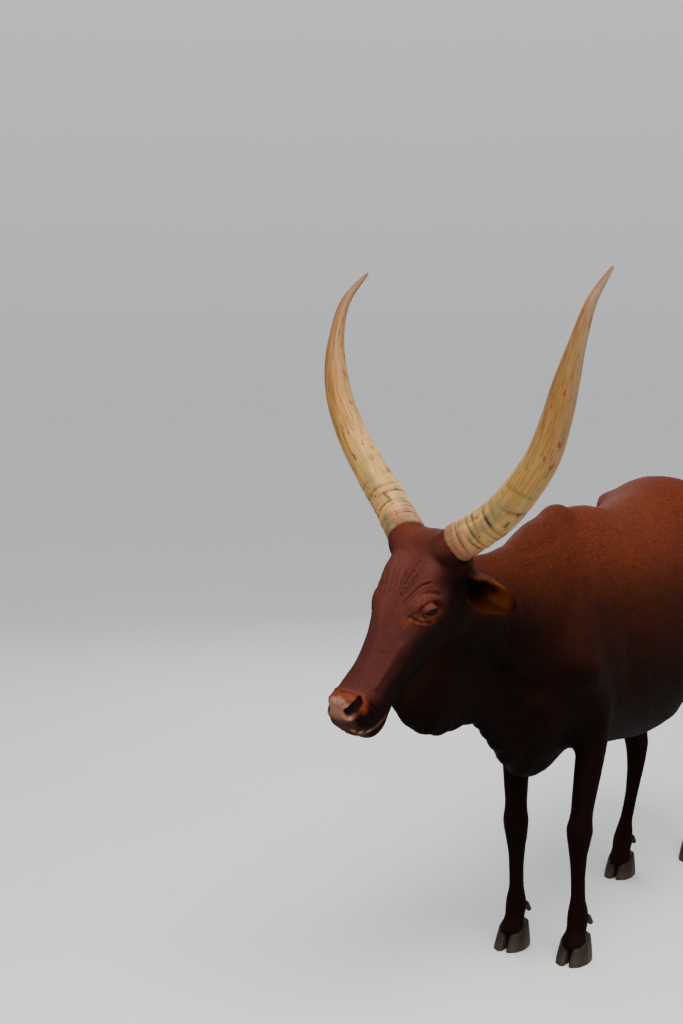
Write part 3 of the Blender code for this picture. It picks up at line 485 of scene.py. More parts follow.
def makeEar(side):
    # a grid wrapped round as outer wall, rim and inner wall, then closed at the root and tip
    bm = bmesh.new()
    bmesh.ops.create_grid(bm, x_segments=earPlan["columns"], y_segments=earPlan["rows"], size=1.0)
    along, opening = (np.array(part) for part in earFrame(side)[1:])
    across = np.cross(along, opening)
    co = np.array([vert.co for vert in bm.verts])
    about, t = (co[:, 0] + 1) / 2, (co[:, 1] + 1) / 2
    t = t * (1 + earPlan["rootDepth"] / earPlan["length"]) - earPlan["rootDepth"] / earPlan["length"]
    inside = about > 0.5
    sweep = np.where(inside, 3 - 4 * about, 4 * about - 1)
    spread, radius, middle = earCup(side, t)
    angle = spread * sweep
    wall = earPlan["thickness"] * np.sqrt(np.clip(1 - np.abs(sweep) ** 8, 0.0, 1))
    ripple = 0.0010 * np.cos(angle * 9) * smoothStep(t, 0.15, 0.4) * (1 - smoothStep(t, 0.8, 1))
    reach = np.where(inside, (radius - wall) * np.minimum(earHollow(t), 1) + ripple, radius)
    reach = reach * (1 - 0.75 * below(t, -0.2, -0.12))
    away = np.sin(angle)[:, None] * across - np.cos(angle)[:, None] * opening
    for vert, spot in zip(bm.verts, middle + away * reach[:, None]):
        vert.co = spot
    closeUp(bm, 0.0002)
    return objectFrom(bm, "ear")


def fuseEars():
    for side in sides:
        ear = makeEar(side)
        union = skin.modifiers.new("Ear", "BOOLEAN")
        union.operation = "UNION"
        union.solver = "MANIFOLD"
        union.object = ear
        bakeModifiers(skin)
        bpy.data.objects.remove(ear)


def nearFace(middle):
    down, left, _ = inHead(middle).T
    start, reach = skinPlan["muzzle"]
    muzzle = (down > start) & (np.abs(left) < reach)
    return (muzzle | (toEyes(middle) < skinPlan["roundEyes"])) & (headness(middle) > 0.5)


mouthWay = (
    (0.432, 0.050, -0.130), (0.452, 0.053, -0.123), (0.480, 0.053, -0.114), (0.510, 0.048, -0.104),
    (0.534, 0.034, -0.091), (0.546, 0.016, -0.083), (0.548, 0.0, -0.081),
)


def lipHeight(x):
    return np.interp(x, [p[0] for p in mouthWay], [p[2] for p in mouthWay])


def nearFeatures(middle):
    down, left, out = inHead(middle).T
    lips = (down > 0.41) & (np.abs(out - lipHeight(down)) < skinPlan["nearLips"])
    oneSide = np.stack([down, np.abs(left), out], 1)
    nostrils = distance(oneSide, skinPlan["nostrils"]) < skinPlan["nearNostrils"]
    return ((toEyes(middle) < skinPlan["nearEyes"]) | lips | nostrils) & (headness(middle) > 0.5)


refine(nearFace)
refine(nearFeatures)
relax(skin.data, headness, 6)
fuseEars()
print("skin refined, ears joined", len(skin.data.polygons))


# Laying lines on the skin, from the photo's frame or from the animal's side

class SkinMap:
    def __init__(self, piece):
        bm = bmesh.new()
        bm.from_mesh(piece.data)
        self.tree = BVHTree.FromBMesh(bm)
        bm.free()

    def hits(self, rays):
        found = [self.tree.ray_cast(start, way)[0] for start, way in rays]
        return [hit for hit in found if hit is not None]

    def seen(self, spots):
        return self.hits(sightLine(px, py) for px, py in spots)

    def fromSide(self, spots, side):
        return self.hits((Vector((x, side, z)) + bodyShift, Vector((0, -side, 0))) for x, z in spots)

    def nearest(self, spots):
        return [self.tree.find_nearest(Vector(spot))[0] for spot in spots]

    def headTwin(self, spots):
        return self.nearest(fromHead(inHead(np.array(spots)) * (1, -1, 1)))

    def bodyTwin(self, spots):
        return self.nearest([Vector((p.x, 2 * bodyShift.y - p.y, p.z)) for p in spots])


def fold(co, way, width, height, shoulder=0.0):
    # a ridge, or a groove where height is below 0, that fades at both ends of the way
    way = smoothWay([Vector(p) for p in way], 6 * len(way))
    low, high = way.min(0) - 4 * width, way.max(0) + 4 * width
    near = np.all((co > low) & (co < high), axis=1)
    lift = np.zeros(len(co))
    if not near.any():
        return lift
    far, along = nearWay(co[near], way)
    ends = smoothStep(along, 0.0, 0.14) * (1 - smoothStep(along, 0.86, 1.0))
    lift[near] = height * hump(far, width) * ends
    if shoulder:
        lift[near] += shoulder * hump(far - 1.9 * width, width) * ends
    return lift


def bump(co, spot, radius, height):
    return height * hump(distance(co, spot), radius)


# Lines of the face, in the photo's frame: points, width and height in metres, and the height of the
# rolls beside a groove
faceLines = [
    (((401.6, 608), (405.2, 600.3), (410.3, 595.2), (418, 588.6), (423.6, 585.5), (432, 583.2)),
     0.0026, -0.0036, 0.0014),
    (((399.5, 606), (403.2, 594.7), (407.8, 588), (411.8, 582), (417, 575.3), (423.6, 567.7), (431, 563.5)),
     0.0030, -0.0050, 0.0020),
    (((397.5, 611), (400.6, 592.7), (406.2, 581.4), (412.3, 573), (417, 566), (424, 560)),
     0.0032, -0.0046, 0.0018),
    (((396, 596), (402, 576), (411, 562), (420, 553)), 0.0034, -0.0034, 0.0014),
    (((417, 600), (421, 595.5), (428, 593.4), (436, 594), (442, 596)), 0.0050, -0.0022, 0.0006),
    (((409, 616), (415, 620.5), (424, 623), (434, 622.5)), 0.0032, -0.0024, 0.0010),
    (((417, 612), (412, 616), (406, 622), (402, 630)), 0.0040, -0.0014, 0.0006),
    (((416, 566), (397, 606), (380.5, 630), (368, 658), (357.5, 673)), 0.0095, 0.0040, 0.0),
    (((404, 640), (396, 655), (388, 668), (380, 680), (374, 692)), 0.0080, 0.0046, 0.0),
    (((418, 648), (408, 662), (399, 672), (391, 686)), 0.0055, 0.0034, 0.0),
    (((384, 650), (377, 664), (369, 678)), 0.0075, -0.0022, 0.0),
    (((392, 690), (399, 682), (408, 676), (420, 670)), 0.0065, 0.0028, 0.0),
    (((331, 691), (341, 690), (352, 692), (362, 697)), 0.0050, 0.0026, 0.0),
    (((366, 700), (372, 706), (378, 714)), 0.0040, -0.0016, 0.0008),
]
# Lines of the body on the side that the photo shows
bodyLines = [
    (((593, 509), (596, 530), (598, 570), (595, 615)), 0.022, 0.0075),
    (((616, 527), (627, 560), (630, 600), (631, 650), (630, 695)), 0.030, -0.0095),
    (((514, 550), (533, 551), (551, 544), (562, 531)), 0.014, -0.0050),
    (((573, 512), (577, 540), (576, 575), (570, 610)), 0.018, -0.0040),
]
# Lines of the body by their places along it and above the ground, laid on both sides
sideLines = [
    (((0.50, 1.00), (0.38, 0.90), (0.25, 0.82), (0.14, 0.76)), 0.020, -0.0060),
    (((0.44, 1.14), (0.38, 1.00), (0.36, 0.90)), 0.009, -0.0022),
    (((0.37, 1.14), (0.30, 1.00), (0.29, 0.88)), 0.009, -0.0020),
    (((-1.19, 1.05), (-1.19, 0.92), (-1.17, 0.78), (-1.13, 0.64)), 0.014, -0.0060),
    (((-0.80, 0.70), (-0.78, 0.78), (-0.76, 0.90), (-0.77, 0.98)), 0.018, 0.0070),
    (((-0.42, 0.63), (-0.55, 0.61), (-0.68, 0.655), (-0.78, 0.71)), 0.010, 0.0050),
]
sideLines += [
    (((-0.26 - 0.082 * k, 1.10), (-0.285 - 0.082 * k, 0.97), (-0.33 - 0.083 * k, 0.82),
      (-0.385 - 0.084 * k, 0.70)), 0.017, 0.0034)
    for k in range(6)
]
# Hollows and swellings of the body: place along it, height above the ground, radius, height
sideBumps = [
    (-0.76, 1.165, 0.075, -0.016), (-0.93, 1.25, 0.030, 0.008), (-1.09, 1.06, 0.055, 0.010),
    (-0.86, 0.76, 0.050, 0.008), (0.10, 0.86, 0.050, 0.008), (-0.12, 0.71, 0.045, 0.006),
    (-1.17, 1.19, 0.050, -0.008),
]
# Swellings and hollows of the head on both sides: place in its frame, radius, height
headBumps = [
    ((0.130, 0.10, -0.045), 0.028, -0.0050), ((0.122, 0.080, 0.006), 0.044, 0.0120),
    ((0.072, 0.090, 0.004), 0.030, 0.0110), ((0.030, 0.088, 0.000), 0.036, 0.0060),
    ((0.235, 0.080, -0.115), 0.034, -0.0040),
]
# Joints of the legs, from part.py
foreJoints = {
    1: ((-0.13, 0.060, 1.20), (0.12, 0.125, 0.90), (-0.03, 0.136, 0.71),
        (0.012, 0.114, 0.365), (0.008, 0.110, 0.125), (0.034, 0.110, 0.062)),
    -1: ((-0.13, 0.060, 1.20), (0.11, 0.125, 0.90), (-0.04, 0.118, 0.71),
         (-0.002, 0.088, 0.362), (-0.010, 0.090, 0.125), (0.016, 0.090, 0.062)),
}
hindJoints = {
    1: ((-1.06, 0.11, 1.20), (-0.93, 0.165, 0.80), (-1.135, 0.125, 0.475),
        (-1.105, 0.115, 0.13), (-1.075, 0.115, 0.065)),
    -1: ((-1.04, 0.11, 1.20), (-0.87, 0.145, 0.79), (-0.95, 0.055, 0.432),
         (-0.805, 0.045, 0.128), (-0.775, 0.045, 0.064)),
}


def legSpot(joints, side, t):
    return onSide(wayAt(joints, t), side) + bodyShift


def legRelief(co):
    # tendons, the bones of knee and hock, and the swell of each fetlock
    lift = np.zeros(len(co))
    for side in sides:
        fore, hind = foreJoints[side], hindJoints[side]
        for joints, top, end in ((fore, 3.16, 3.86), (hind, 2.22, 2.88)):
            for face in sides:
                way = [legSpot(joints, side, t) + Vector((-0.007, face * 0.026, 0))
                       for t in np.linspace(top, end, 5)]
                lift += fold(co, way, 0.0065, -0.0034)
        knee, fetlock, hock = legSpot(fore, side, 3.0), legSpot(fore, side, 4.0), legSpot(hind, side, 2.0)
        for joint, away, radius, height in (
            (knee, (0.036, 0, 0.012), 0.022, 0.0040), (knee, (-0.034, 0, 0.010), 0.016, 0.0050),
            (fetlock, (-0.03, 0, -0.006), 0.020, 0.0040), (hock, (-0.06, 0, 0.040), 0.026, 0.0080),
        ):
            lift += bump(co, joint + Vector(away), radius, height)
        for face in sides:
            way = [hock + onSide(away, face) for away in ((-0.026, 0.035, 0.05), (-0.020, 0.040, 0.11),
                                                          (0.0, 0.050, 0.17))]
            lift += fold(co, way, 0.013, -0.0075)
            lift += bump(co, hock + Vector((0.010, face * 0.036, 0.0)), 0.020, 0.0036)
            lift += bump(co, knee + Vector((0.0, face * 0.036, 0.014)), 0.018, 0.0030)
    return lift


def almond(u, v):
    # how far a point is outside the opening, below 0 inside it
    a = eyePlan["halfLength"]
    top, bottom = lidEdges(u)
    beyond = np.hypot(np.maximum(np.abs(u) - a, 0), v)
    return np.where(np.abs(u) < a, np.maximum(v - top, bottom - v), beyond)


def openEyes(co, shadedHollow, lids):
    radius = headPose["eyeRadius"]
    for side in sides:
        spot, out, corner, rise = (np.array(part) for part in eyeFrame(side))
        d = co - spot
        u, v, w = d @ corner, d @ rise, d @ out
        near = (np.linalg.norm(d, axis=1) < 0.055) & (w > -0.012)
        u, v, w = u[near], v[near], w[near]
        gap = almond(u, v)
        edge = np.abs(gap) < 0.0007    # points by the rim are drawn onto it
        step = 0.0002
        gu = (almond(u + step, v) - almond(u - step, v)) / (2 * step)
        gv = (almond(u, v + step) - almond(u, v - step)) / (2 * step)
        size = np.maximum(gu * gu + gv * gv, 0.25)
        u = np.where(edge, u - (gap - 0.0001) * gu / size, u)
        v = np.where(edge, v - (gap - 0.0001) * gv / size, v)
        gap = np.where(edge, 0.0001, gap)
        across = u * u + v * v
        lid = radius + eyePlan["lidThick"] + 0.0012 * hump(gap - 0.0025, 0.0025)
        onLid = np.sqrt(np.maximum(lid * lid - across, 0.004 ** 2))
        away = blend(w, onLid, 1 - smoothStep(gap, 0.006, 0.024))
        middle = 1 - smoothStep(np.abs(u), 0.012, 0.028)
        above = v > 0
        for which, place, width, height in eyePlan["folds"]:
            away += height * middle * hump(gap - place, width) * (above if which > 0 else ~above)
        sunk = np.sqrt(np.maximum((radius - eyePlan["sunk"]) ** 2 - across, 0))
        away = np.where(gap < 0, sunk, away)
        shadedHollow[near] = np.maximum(shadedHollow[near], 1 - smoothStep(gap, 0.0005, 0.0016))
        upper = above * middle * (1 - smoothStep(gap, 0.0120, 0.0175))
        lids[near] = np.maximum(lids[near], upper * smoothStep(gap, 0.0004, 0.0020))
        co[near] = spot + u[:, None] * corner + v[:, None] * rise + away[:, None] * out
    return co


nostrilPlan = {
    "spine": ((346.5, 714.4), (351, 713.2), (355.6, 708.8), (358.6, 702.6), (359.4, 697)),
    "radius": profile([(0, 0.0145), (0.35, 0.0180), (0.7, 0.0135), (1, 0.0045)]),
    "depth": profile([(0, 0.018), (0.35, 0.026), (0.75, 0.018), (1, 0.005)]),
    "lobe": ((337, 706), (344, 702), (352, 699)),
}


def carveMouth(co, normal, onSkin, shadedHollow):
    whole = mouthWay + tuple((x, -y, z) for x, y, z in mouthWay[-2::-1])
    way = smoothWay(onSkin.nearest([headPlace @ Vector(p) for p in whole]), 60)
    far, along = nearWay(co, way)
    down, _, out = inHead(co).T
    ends = smoothStep(along, 0, 0.08) * (1 - smoothStep(along, 0.92, 1))
    shadedHollow[:] = np.maximum(shadedHollow, hump(far, 0.0018) * ends)
    lift = -0.0050 * hump(far, 0.0021)
    lift += np.where(out > lipHeight(down), 0.0016, 0.0030) * hump(far - 0.0062, 0.0038)
    return co + normal * (lift * ends)[:, None]


def carveNostrils(co, normal, onSkin, shadedHollow):
    seen = onSkin.seen(nostrilPlan["spine"])
    lobe = onSkin.seen(nostrilPlan["lobe"])
    for side, spine, wing in ((1, seen, lobe), (-1, onSkin.headTwin(seen), onSkin.headTwin(lobe))):
        co = co + normal * fold(co, wing, 0.0075, 0.0036)[:, None]
        far, along = nearWay(co, smoothWay(spine, 24))
        wide = nostrilPlan["radius"](along)
        inward = np.array(headTurn @ Vector((-0.80, -side * 0.50, -0.12)).normalized())
        opened = 1 - smoothStep(far, 0.45 * wide, wide * 1.05)
        deep = nostrilPlan["depth"](along) * opened
        shadedHollow[:] = np.maximum(shadedHollow, smoothStep(opened, 0.15, 0.65))
        rim = 0.0024 * hump(far - wide - 0.0022, 0.0026)
        co = co + inward * deep[:, None] + normal * rim[:, None]
    return co


def sculpt():
    # shapes the skin, and says which of its points lie in a nostril, the mouth or an eye, where the skin is
    # painted with shade, or on a lid
    onSkin = SkinMap(skin)
    co, normal = places(skin.data), outward(skin.data)
    lift = np.zeros(len(co))
    for spots, width, height, roll in faceLines:
        way = onSkin.seen(spots)
        lift += fold(co, way, width, height, roll)
        lift += 0.65 * fold(co, onSkin.headTwin(way), width, height, roll)
    for spots, width, height in bodyLines:
        way = onSkin.seen(spots)
        lift += fold(co, way, width, height) + fold(co, onSkin.bodyTwin(way), width, height)
    for spots, width, height in sideLines:
        for side in sides:
            lift += fold(co, onSkin.fromSide(spots, side), width, height)
    for x, z, radius, height in sideBumps:
        for side in sides:
            lift += bump(co, onSkin.fromSide([(x, z)], side)[0], radius, height)
    lift += legRelief(co)
    for side in sides:
        for place, radius, height in headBumps:
            lift += bump(co, headPlace @ onSide(place, side), radius, height)
    # the dewlap hangs in soft pleats
    x, z = co[:, 0] - bodyShift.x, co[:, 2]
    hem = below(z, 0.72, 0.90) * smoothStep(x, 0.10, 0.25) * (1 - headness(co) * 0.5)
    lift += 0.0035 * hem * np.sin(x * 95 + z * 30 + 3 * np.sin(z * 17))
    setPlaces(skin.data, co + normal * (lift - skinPlan["coatDepth"])[:, None])
    relax(skin.data, lambda co: 1 - smoothStep(headness(co) + legness(co), 0.0, 0.5), 3)
    # shares of the points painted with shade in the nostrils, mouth line and eye openings, and of the upper
    # lids
    shadedHollow, lids = np.zeros(len(co)), np.zeros(len(co))
    co = carveMouth(places(skin.data), normal, onSkin, shadedHollow)
    co = carveNostrils(co, normal, onSkin, shadedHollow)
    setPlaces(skin.data, openEyes(co, shadedHollow, lids))
    return onSkin, shadedHollow, lids


skinMap, shadedHollowShare, lidShare = sculpt()
shadeSmooth(skin.data)
print("skin shaped", len(skin.data.polygons))


# Markings and painted shade, as shares from 0 to 1 at places on the skin, that skin and coat both carry;
# the dark share is partly the coat's own darker colour and partly painted shade

markPlan = {
    "lipSpot": (350, 719.5), "lipStripe": ((353, 731.5), (361, 732.5), (369, 731)),
    "noseCorner": ((362, 697), (365.5, 702)),
    "earShade": ((484, 580), (489, 584), (493, 588)),
    "lidBelow": ((406, 621), (410, 621), (418, 622), (426, 622.5), (434, 621)),
}


def earPlace(co, normal):
    # how far along its ear a point lies, below 0 off the ears, and 1 where it faces the cup's hollow
    far = np.full(len(co), -1.0)
    inner = np.zeros(len(co))
    for side in sides:
        root, along = (np.array(part) for part in earFrame(side)[:2])
        t = (co - root) @ along / earPlan["length"]
        _, radius, middle = earCup(side, t)
        toAxis = middle - co
        on = (t > 0.04) & (t < 1.2) & (np.linalg.norm(toAxis, axis=1) < radius * 1.15 + 0.004)
        far[on] = t[on]
        inner[on] = ((toAxis * normal).sum(1) > 0)[on]
    return far, inner


def bothSides(spots):
    return spots + skinMap.headTwin(spots)


lidSpots = bothSides(skinMap.seen(markPlan["lidBelow"]))
rimSpots = bothSides(skinMap.seen(markPlan["noseCorner"]))
earShade = bothSides(skinMap.seen(markPlan["earShade"]))
paleSpots = bothSides(skinMap.seen([markPlan["lipSpot"]]) + skinMap.seen(markPlan["lipStripe"]))


def around(co, spots, radius):
    near = np.zeros(len(co))
    for spot in spots:
        near = np.maximum(near, bump(co, spot, radius, 1.0))
    return near


def marksAndPaintedShade(co, normal):
    down, left, out = inHead(co).T
    ahead, _, high = inBody(co).T
    up, side = normal[:, 2], np.abs(left)
    head = headness(co)
    # 1 on the face, and softly down to 0 behind the cheeks and on the neck
    face = smoothStep(down, -0.08, 0.12) * (1 - smoothStep(-out, 0.13, 0.24))
    trunk = 1 - face
    far, inner = earPlace(co, normal)
    onEar = far > 0
    cup = onEar * inner
    temples = [headPlace @ Vector((0.105, twin * 0.10, -0.060)) for twin in sides]
    # painted light and shade: the back is painted lightest and the neck darker; the coat is darker down to
    # the belly, partly as its own colour and partly as painted shade, and painted darker where it faces the
    # ground
    light = 1 - (0.10 + 0.28 * smoothStep(ahead, -0.30, 0.16)) * trunk
    for shade in (
        # the trunk darker below the back, down the legs and on the lower neck: partly the coat's own
        # colour, partly painted shade from above
        0.68 * below(high, 0.98, 1.22) * trunk,
        0.80 * below(high, 0.66, 1.08) * trunk,
        0.60 * below(high, 0.95, 1.20) * smoothStep(ahead, 0.16, 0.36) * trunk,
        # painted shade where the skin faces the ground
        0.65 * below(up, -0.40, 0.45) * ~onEar,
        # painted shade on the side planes of the face and muzzle, on the nose bridge and below the mouth
        0.85 * face * below(out, -0.090, -0.035) * (1 - smoothStep(down, 0.46, 0.51)),
        0.35 * face * smoothStep(down, 0.20, 0.34) * (1 - smoothStep(down, 0.44, 0.48)),
        0.70 * face * smoothStep(down, 0.44, 0.50) * smoothStep(side, 0.046, 0.058),
        0.80 * head * smoothStep(down, 0.44, 0.48) * below(out, -0.044, -0.024),
        # painted shade in the temple hollows and deep in the ear's cup; darker inside the cup near its tip
        0.75 * around(co, temples, 0.050),
        0.60 * cup * (1 - smoothStep(far, 0.34, 0.58)),
        0.90 * cup * around(co, earShade, 0.017),
        0.60 * cup * smoothStep(far, 0.80, 1.0),
    ):
        light *= 1 - shade
    lowEar = below(np.abs(far - 0.62), 0.10, 0.34) * (0.35 + 0.65 * below(up, 0.1, 0.75))
    noseRim = hump(down + 0.25 * out - 0.484, 0.0105) * smoothStep(out, -0.055, -0.035)
    warm = np.maximum.reduce([
        0.75 * around(co, lidSpots, 0.0080) * head,
        0.95 * lidShare,
        0.22 * around(co, eyeSpots.values(), 0.034) * head,
        cup * lowEar * (1 - 0.95 * around(co, earShade, 0.016)),
        0.25 * onEar * (1 - inner) * smoothStep(far, 0.1, 0.5),
        0.85 * noseRim * head,
        0.60 * around(co, rimSpots, 0.009) * head,
    ])
    pad = smoothStep(down + 0.25 * out + 0.35 * np.maximum(0.034 - side, 0), 0.494, 0.508)
    pad *= (0.12 + 0.88 * smoothStep(out, -0.038, -0.014)) * (1 - smoothStep(side, 0.040, 0.054)) * head
    lips = head * smoothStep(down, 0.44, 0.50) * hump(out - lipHeight(down) + 0.005, 0.006)
    # the dark share carries this painted shade together with the coat's own darker colour
    return {
        "dark": (1 - light) * (1 - 0.3 * lips) * (1 - pad), "warm": warm,
        "bare": np.maximum(pad, 0.35 * lips), "pale": around(co, paleSpots, 0.0065) * head,
        "leg": legness(co), "face": face,
    }


skinMarks = marksAndPaintedShade(places(skin.data), outward(skin.data))
for mark, share in skinMarks.items():
    giveValue(skin.data, mark, share)
giveValue(skin.data, "tone", np.full(len(shadedHollowShare), 0.30))
giveValue(skin.data, "shadedHollow", shadedHollowShare)


def unwrap(piece):
    # lays the piece's own shape out flat, for the places of the tufts' patches
    bpy.context.view_layer.objects.active = piece
    piece.select_set(True)
    bpy.ops.object.mode_set(mode="EDIT")
    bpy.ops.mesh.select_all(action="SELECT")
    bpy.ops.uv.smart_project(angle_limit=math.radians(66), island_margin=0.0008)
    bpy.ops.object.mode_set(mode="OBJECT")
    piece.select_set(False)
    piece.data.uv_layers[0].name = "OFBake"


unwrap(skin)
print("skin unwrapped")


# Looks

class Value:
    # a value or colour of a material, which adds and multiplies as a number does
    def __init__(self, socket):
        self.socket = socket

    def joined(self, operation, first, second):
        node = self.socket.id_data.nodes.new("ShaderNodeMath")
        node.operation = operation
        feed(node.inputs[0], first)
        feed(node.inputs[1], second)
        return Value(node.outputs[0])

    def __add__(self, other):
        return self.joined("ADD", self, other)

    def __sub__(self, other):
        return self.joined("SUBTRACT", self, other)

    def __rsub__(self, other):
        return self.joined("SUBTRACT", other, self)

    def __mul__(self, other):
        return self.joined("MULTIPLY", self, other)

    def atLeast(self, other):
        return self.joined("MAXIMUM", self, other)

    def clamped(self):
        self.socket.node.use_clamp = True
        return self


def feed(place, value):
    # gives an input another node's value, a colour or a number
    if isinstance(value, Value):
        place.id_data.links.new(value.socket, place)
    else:
        place.default_value = (*value, 1) if place.type == "RGBA" else value


def newMaterial(name):
    made = bpy.data.materials.new(name)
    made.use_nodes = True
    return made, made.node_tree


def finishLook(tree, colour, roughness, specular=0.5, height=None, relief=0.6):
    shader = tree.nodes["Principled BSDF"].inputs
    feed(shader["Base Color"], colour)
    feed(shader["Roughness"], roughness)
    feed(shader["Specular IOR Level"], specular)
    if height is not None:
        raised = tree.nodes.new("ShaderNodeBump")
        feed(raised.inputs["Strength"], relief)
        feed(raised.inputs["Distance"], 1.0)
        feed(raised.inputs["Height"], height)
        feed(shader["Normal"], Value(raised.outputs["Normal"]))
    return shader


def attribute(tree, name):
    node = tree.nodes.new("ShaderNodeAttribute")
    node.attribute_name = name
    return Value(node.outputs["Fac"])


def objectPlace(tree):
    return Value(tree.nodes.new("ShaderNodeTexCoord").outputs["Object"])


def mixColour(tree, share, first, second, blending="MIX"):
    node = tree.nodes.new("ShaderNodeMix")
    node.data_type = "RGBA"
    node.blend_type = blending
    for value, place in ((share, 0), (first, 6), (second, 7)):
        feed(node.inputs[place], value)
    return Value(node.outputs[2])


def ramp(value, stops):
    node = value.socket.id_data.nodes.new("ShaderNodeValToRGB")
    feed(node.inputs[0], value)
    elements = node.color_ramp.elements
    while len(elements) < len(stops):
        elements.new(0.5)
    for element, (place, colour) in zip(elements, stops):
        element.position = place
        element.color = (*colour, 1)
    return Value(node.outputs[0])


def greyRamp(value, *stops):
    return ramp(value, [(place, (grey, grey, grey)) for place, grey in stops])


def noiseAt(tree, place, detail, distortion=0.0):
    node = tree.nodes.new("ShaderNodeTexNoise")
    for name, value in (("Vector", place), ("Scale", 1.0), ("Detail", detail), ("Distortion", distortion)):
        feed(node.inputs[name], value)
    return Value(node.outputs["Fac"])


def stretched(tree, scale, detail=3.0, turn=(0, 0, 0)):
    # noise drawn out along one way of the body
    place = tree.nodes.new("ShaderNodeMapping")
    place.vector_type = "POINT"
    feed(place.inputs["Vector"], objectPlace(tree))
    feed(place.inputs["Rotation"], turn)
    sized = tree.nodes.new("ShaderNodeVectorMath")
    sized.operation = "MULTIPLY"
    feed(sized.inputs[0], Value(place.outputs[0]))
    feed(sized.inputs[1], scale)
    return noiseAt(tree, Value(sized.outputs[0]), detail)


def pores(tree, scale):
    node = tree.nodes.new("ShaderNodeTexVoronoi")
    feed(node.inputs["Vector"], objectPlace(tree))
    feed(node.inputs["Scale"], scale)
    return Value(node.outputs["Distance"])


# colours of the coat: dark is both its darker colour and painted shade, and the mauve is a painted sheen
coatColours = {
    "main": (0.078, 0.0130, 0.0050), "lit": (0.165, 0.0360, 0.0110), "dark": (0.0030, 0.0010, 0.0007),
    "warm": (0.200, 0.042, 0.0070), "bare": (0.190, 0.080, 0.050), "pale": (0.290, 0.150, 0.110),
    "paintedMauveSheen": (0.088, 0.0270, 0.0270),
}
coatMarks = ("dark", "warm", "bare", "pale", "leg", "face")


def coatGroup():
    # the colour and relief of coat and bare skin, from the markings
    group = bpy.data.node_groups.new("coat looks", "ShaderNodeTree")
    inputs = [mark.capitalize() for mark in (*coatMarks, "tone")]
    for name in inputs:
        group.interface.new_socket(name, in_out="INPUT", socket_type="NodeSocketFloat")
    for name, kind in (("Colour", "Color"), ("Height", "Float"), ("Gloss", "Float")):
        group.interface.new_socket(name, in_out="OUTPUT", socket_type="NodeSocket" + kind)
    given = group.nodes.new("NodeGroupInput").outputs
    dark, warm, bare, pale, leg, face, toned = (Value(given[name]) for name in inputs)
    bodyHair = stretched(group, (38, 620, 620), turn=(0, math.radians(-17), 0))
    legHair = stretched(group, (760, 760, 55))
    faceHair = stretched(group, (110, 1100, 1100), turn=tuple(headTurn.inverted().to_euler("XYZ")))
    hair = mixColour(group, leg, bodyHair, legHair)
    hair = mixColour(group, face, hair, faceHair)
    broad = stretched(group, (5, 5, 5), 4.0)
    patch = stretched(group, (38, 38, 38))
    tone = (hair * 0.55 + patch * 0.25 + broad * 0.30 + toned * 0.75 - 0.50).clamped()
    colour = mixColour(group, tone, coatColours["main"], coatColours["lit"])
    # painted sheen: the face mixed towards mauve, a painted reflection of a pale sky
    colour = mixColour(group, face * 0.62, colour, coatColours["paintedMauveSheen"])
    # the dark colour stands for the coat's own darker colour and for painted shade
    colour = mixColour(group, dark, colour, coatColours["dark"])
    colour = mixColour(group, (warm * (hair * 0.8 + 0.45)).clamped(), colour, coatColours["warm"])
    skinColour = mixColour(group, patch * 0.45, coatColours["bare"], coatColours["pale"])
    colour = mixColour(group, bare, colour, skinColour)
    colour = mixColour(group, pale, colour, coatColours["pale"])
    shade = greyRamp(hair, (0.30, 0.50), (0.62, 1.0))
    furry = (1.0 - bare).clamped()
    colour = mixColour(group, furry, colour, mixColour(group, 1.0, colour, shade, "MULTIPLY"))
    height = hair * 0.0016 * furry + pores(group, 330) * -0.0007 * bare + patch * 0.0012
    result = group.nodes.new("NodeGroupOutput").inputs
    feed(result["Colour"], colour)
    feed(result["Height"], height)
    feed(result["Gloss"], 0.62 - bare * 0.24)
    return group


coatLooks = coatGroup()


def coatMaterial(name, relief, paintHollowShade=False):
    made, tree = newMaterial(name)
    looks = tree.nodes.new("ShaderNodeGroup")
    looks.node_tree = coatLooks
    for mark in (*coatMarks, "tone"):
        feed(looks.inputs[mark.capitalize()], attribute(tree, mark))
    colour, height, gloss = (Value(looks.outputs[name]) for name in ("Colour", "Height", "Gloss"))
    # painted shade: near-black in the nostrils, along the mouth line and in the eye openings
    if paintHollowShade:
        colour = mixColour(tree, attribute(tree, "shadedHollow"), colour, (0.010, 0.004, 0.004))
    finishLook(tree, colour, gloss, 0.03, height, relief)
    return made


skin.data.materials.clear()
skin.data.materials.append(coatMaterial("short coat", 0.8, True))
skin.data.polygons.foreach_set("material_index", np.zeros(len(skin.data.polygons), np.int32))
coatLook = coatMaterial("coat tufts", 0.5)
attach(skin, "root")
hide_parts(*fleshNodes, "ear_left", "ear_right")


# The horns' middle lines, from part.py: beside, before and above the poll, and the radius
hornWay = (
    (0.099, 0.001, -0.018, 0.0515), (0.186, -0.025, 0.042, 0.0485), (0.255, -0.029, 0.101, 0.0455),
    (0.345, -0.024, 0.204, 0.0415), (0.397, -0.014, 0.302, 0.0365), (0.425, -0.014, 0.395, 0.0305),
    (0.441, -0.029, 0.487, 0.0205), (0.448, -0.063, 0.579, 0.0132), (0.443, -0.136, 0.659, 0.0030),
)


def hornPoints(side):
    turn = sideTurn @ Matrix.Rotation(headPose["roll"], 3, "X")
    base = headPose["poll"] + bodyShift
    return [base + turn @ Vector((ahead, side * beside, above)) for beside, ahead, above, _ in hornWay]


def hornRoot(side):
    # where a horn starts, and which way it goes
    base, second = hornPoints(side)[:2]
    return np.array(base), np.array((second - base).normalized())


# The coat: thin flat tufts that lie on the skin

coatPlan = {
    "seed": 11, "perPiece": 62000,
    "cover": {"body": 1.65, "leg": 1.6, "face": 1.6},
    "sunk": 0.0005, "rise": 0.0013, "tipRise": 0.0010,
    "patch": 0.003,
    "whorl": 0.150,      # how far down the face its hair turns
    "scatter": 0.16,
}


